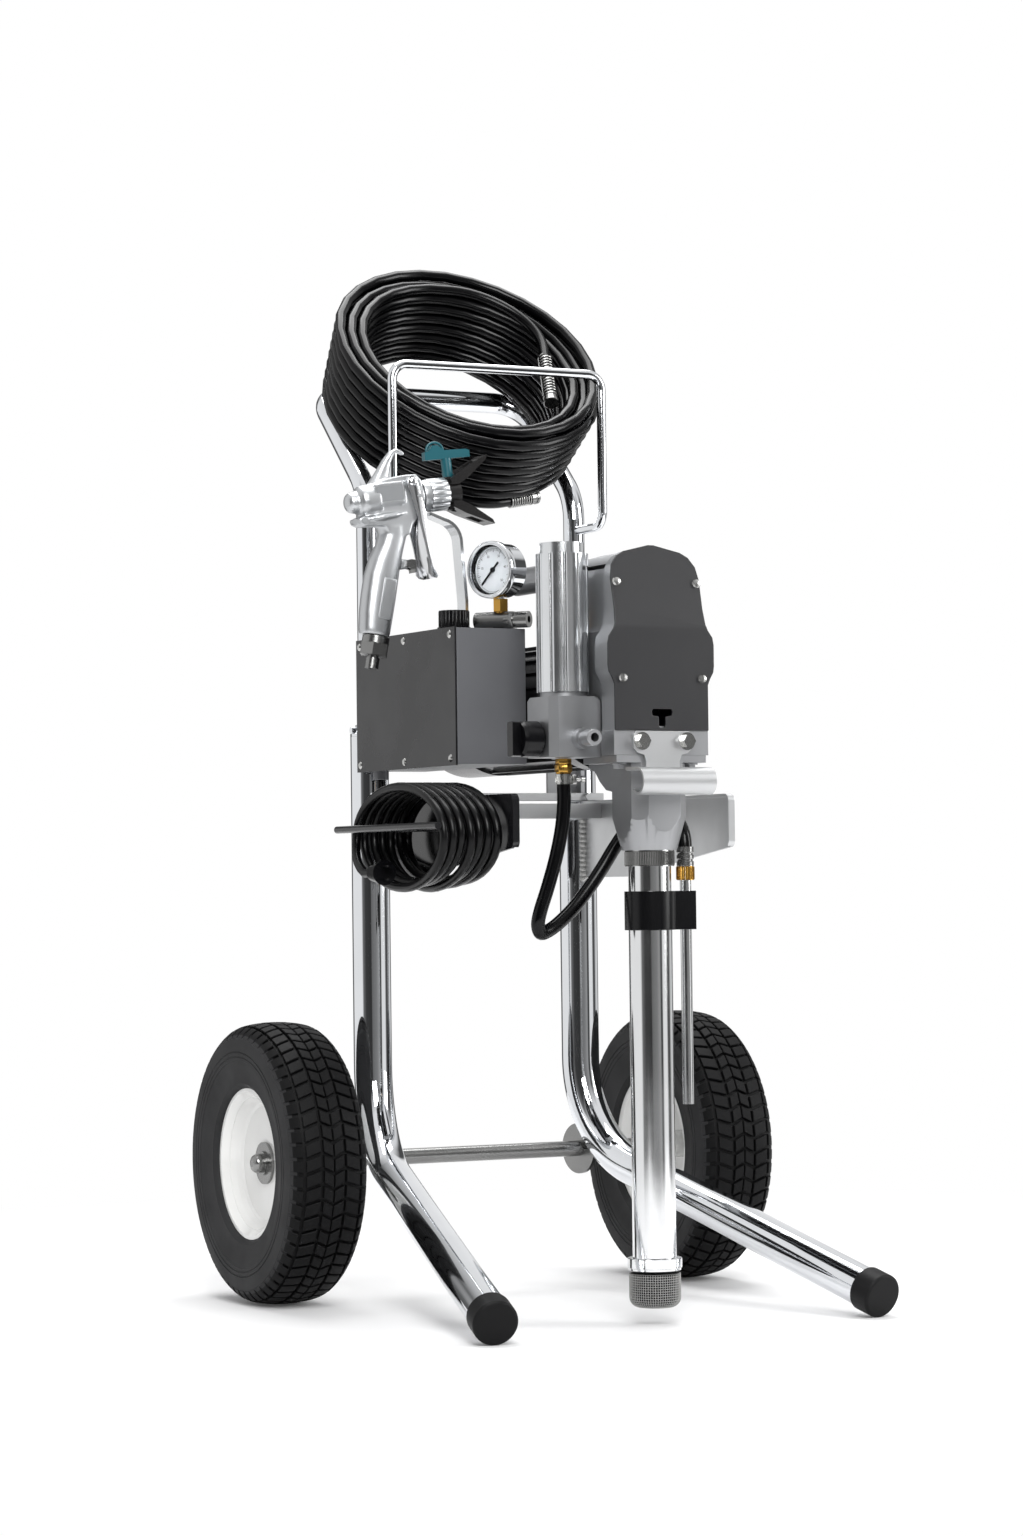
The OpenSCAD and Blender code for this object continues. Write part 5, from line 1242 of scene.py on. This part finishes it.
def knurled(name, where, radius, low_z, high_z, count, material, inner):
    """A ring with a ribbed outside, standing at where."""
    bm = bmesh.new()
    middle = radius - TOOTH_R
    turned(bm, [(inner, low_z), (middle, low_z), (middle, high_z), (inner, high_z),
                (inner, low_z)], where, steps=72)
    for k in range(count):
        a = math.tau * k / count
        spot = where + Vector((middle * MM * math.cos(a), middle * MM * math.sin(a), 0))
        turned(bm, [(0, low_z + 0.6), (TOOTH_R, low_z + 1), (TOOTH_R, high_z - 1),
                    (0, high_z - 0.6)], spot, steps=6)
    new_piece(name, bm, material, "cart", "steel")


knurled("yoke_ring_nut", PUMP_LINE, 23.8, 430.2, 444.6, 90, turned_steel, 22.9)
knurled("drain_brass_nut", OUTLET, 8.9, 416.6, 429.8, 28, yellow_brass, 7.2)
crimp = bmesh.new()
turned(crimp, [(5.8, 430.1), (8.2, 430.1), (8.2, 434), (7.3, 435), (7.3, 436), (8.2, 437),
               (8.2, 440), (7.3, 441), (7.3, 442), (8.2, 443), (8.2, 448.2), (5.8, 448.2),
               (5.8, 430.1)], OUTLET)
new_piece("drain_crimp_ferrule", crimp, turned_steel, "cart", "steel")

BEADS, BEAD_STEP = 14, 5
weld = bmesh.new()
for k in range(BEADS):
    bead = bmesh.ops.create_icosphere(weld, subdivisions=2, radius=MM)["verts"]
    sway = 0.5 * math.sin(2.4 * k)
    bmesh.ops.transform(weld, verts=bead, matrix=Matrix.Translation(
        at(116.5 + sway, -18.6, 420 + BEAD_STEP * k)) @ Matrix.Diagonal((5.6 + sway, 3.4, 4.4, 1)))
new_piece("plate_weld", weld, galvanised_plate, "cart", "steel", smooth_degrees=80)
print("knurls, ferrule and weld made")

# %% [markdown]
# ## The studio
#
# Three soft lamps light the machine: the strong one in front on the left, a weaker one on the
# right, and one above.

# %% The lamps
def add_lamp(name, where, target, size, watts):
    """A soft rectangular lamp at where, aimed at the target."""
    data = bpy.data.lights.new(name, "AREA")
    data.shape = "RECTANGLE"
    data.size, data.size_y = size
    data.energy = watts
    lamp = bpy.data.objects.new(name, data)
    scene.collection.objects.link(lamp)
    lamp.location = where
    lamp.rotation_mode = "QUATERNION"
    lamp.rotation_quaternion = (Vector(target) - Vector(where)).to_track_quat("-Z", "Y")


add_lamp("key_softbox", (-1.2, -3.0, 2.3), (0, 0, 0.55), (1.6, 2.0), 118)
add_lamp("fill_softbox", (2.6, -1.8, 1.4), (0, 0, 0.5), (1.0, 2.0), 54)
add_lamp("top_softbox", (0.2, 0.6, 3.0), (0, 0, 0.4), (2.0, 2.0), 78)
print("lamps made:", len(bpy.data.lights))

# %% [markdown]
# Chrome only looks like chrome when it has something dark to reflect. So the surround shows
# glossy rays a white room with dark openings in its walls, and shows the camera plain white.
# The walls are one ramp of greys, laid once round the compass under a pale ceiling.

# %% The surround
WALLS = [(0.0, 0.95), (0.012, 0.95), (0.04, 0.16), (0.09, 0.05), (0.172, 0.04), (0.186, 0.17),
         (0.24, 0.22), (0.30, 0.34), (0.318, 0.06), (0.335, 0.06), (0.352, 0.9), (0.41, 0.9),
         (0.435, 0.10), (0.475, 0.08), (0.50, 0.6), (0.56, 0.8), (0.60, 0.08), (0.63, 0.08),
         (0.645, 0.95), (0.71, 0.95), (0.735, 0.10), (0.79, 0.12), (0.81, 0.95)]
CEILING = (0.9, 0.9, 0.9, 1)
DULL_LIGHT = (0.50, 0.50, 0.51, 1)
WHITE = (1, 1, 1, 1)

world = bpy.data.worlds.new("studio")
scene.world = world
world.use_nodes = True
tree = world.node_tree
direction = add_node(tree, "ShaderNodeTexCoord").outputs["Generated"]
parts = add_node(tree, "ShaderNodeSeparateXYZ", {0: direction})
turn = add_node(tree, "ShaderNodeMath", {0: parts.outputs[1], 1: parts.outputs[0]},
                operation="ARCTAN2")
share = add_node(tree, "ShaderNodeMapRange", {
    "Value": turn.outputs[0], "From Min": -math.pi, "From Max": math.pi})
walls = add_node(tree, "ShaderNodeValToRGB", {0: share.outputs[0]})
ramp = walls.color_ramp
ramp.interpolation = "EASE"
while len(ramp.elements) > 1:
    ramp.elements.remove(ramp.elements[-1])
ramp.elements[0].position = WALLS[0][0]
ramp.elements[0].color = (WALLS[0][1],) * 3 + (1,)
for position, value in WALLS[1:]:
    ramp.elements.new(position).color = (value,) * 3 + (1,)
ceiling = add_node(tree, "ShaderNodeMapRange", {
    "Value": parts.outputs[2], "From Min": 0.45, "From Max": 0.8})
mirror_room = add_node(tree, "ShaderNodeMix", {
    0: ceiling.outputs[0], 6: walls.outputs[0], 7: CEILING}, data_type="RGBA")
rays = add_node(tree, "ShaderNodeLightPath")
shown = add_node(tree, "ShaderNodeMix", {
    0: rays.outputs["Is Glossy Ray"], 6: DULL_LIGHT, 7: mirror_room.outputs[2]}, data_type="RGBA")
plain = add_node(tree, "ShaderNodeMath", {
    0: rays.outputs["Is Camera Ray"], 1: rays.outputs["Is Transmission Ray"]}, operation="MAXIMUM")
seen = add_node(tree, "ShaderNodeMix", {
    0: plain.outputs[0], 6: shown.outputs[2], 7: WHITE}, data_type="RGBA")
tree.links.new(seen.outputs[2], tree.nodes["Background"].inputs["Color"])
print("greys round the surround:", len(ramp.elements))

# %% [markdown]
# The floor is pale paint under the machine. Further out it fades into the white surround, but
# only for the camera, so that it still takes shadows and shows in the chrome as paint.

# %% The floor
FLOOR_SIZE = 1.7
PAINT = (0.82, 0.82, 0.82, 1)
FADE_FROM, FADE_TO, NEAR_GLOW = 0.6, 1.4, 0.05

floor_bm = bmesh.new()
bmesh.ops.create_grid(floor_bm, x_segments=1, y_segments=1, size=FLOOR_SIZE)
floor_mesh = bpy.data.meshes.new("floor")
floor_bm.to_mesh(floor_mesh)
floor_bm.free()
floor = bpy.data.objects.new("floor", floor_mesh)
scene.collection.objects.link(floor)
floor_paint = bpy.data.materials.new("pale_floor_paint")
floor_paint.use_nodes = True
tree = floor_paint.node_tree
shader = tree.nodes["Principled BSDF"]
shader.inputs["Base Color"].default_value = PAINT
shader.inputs["Roughness"].default_value = 0.6
shader.inputs["Specular IOR Level"].default_value = 0.1
glow = add_node(tree, "ShaderNodeEmission", {"Color": WHITE, "Strength": 1.0})
place = add_node(tree, "ShaderNodeTexCoord").outputs["Object"]
far = add_node(tree, "ShaderNodeVectorMath", {0: place}, operation="LENGTH").outputs["Value"]
fade = add_node(tree, "ShaderNodeMapRange", {
    "Value": far, "From Min": FADE_FROM, "From Max": FADE_TO, "To Min": NEAR_GLOW, "To Max": 1.0})
fade.interpolation_type = "SMOOTHSTEP"
camera_ray = add_node(tree, "ShaderNodeLightPath").outputs["Is Camera Ray"]
camera_share = add_node(tree, "ShaderNodeMath", {0: camera_ray, 1: fade.outputs[0]},
                        operation="MULTIPLY")
seen_floor = add_node(tree, "ShaderNodeMixShader", {
    0: camera_share.outputs[0], 1: shader.outputs[0], 2: glow.outputs[0]})
tree.links.new(seen_floor.outputs[0], tree.nodes["Material Output"].inputs["Surface"])
floor_mesh.materials.append(floor_paint)
print("studio made")
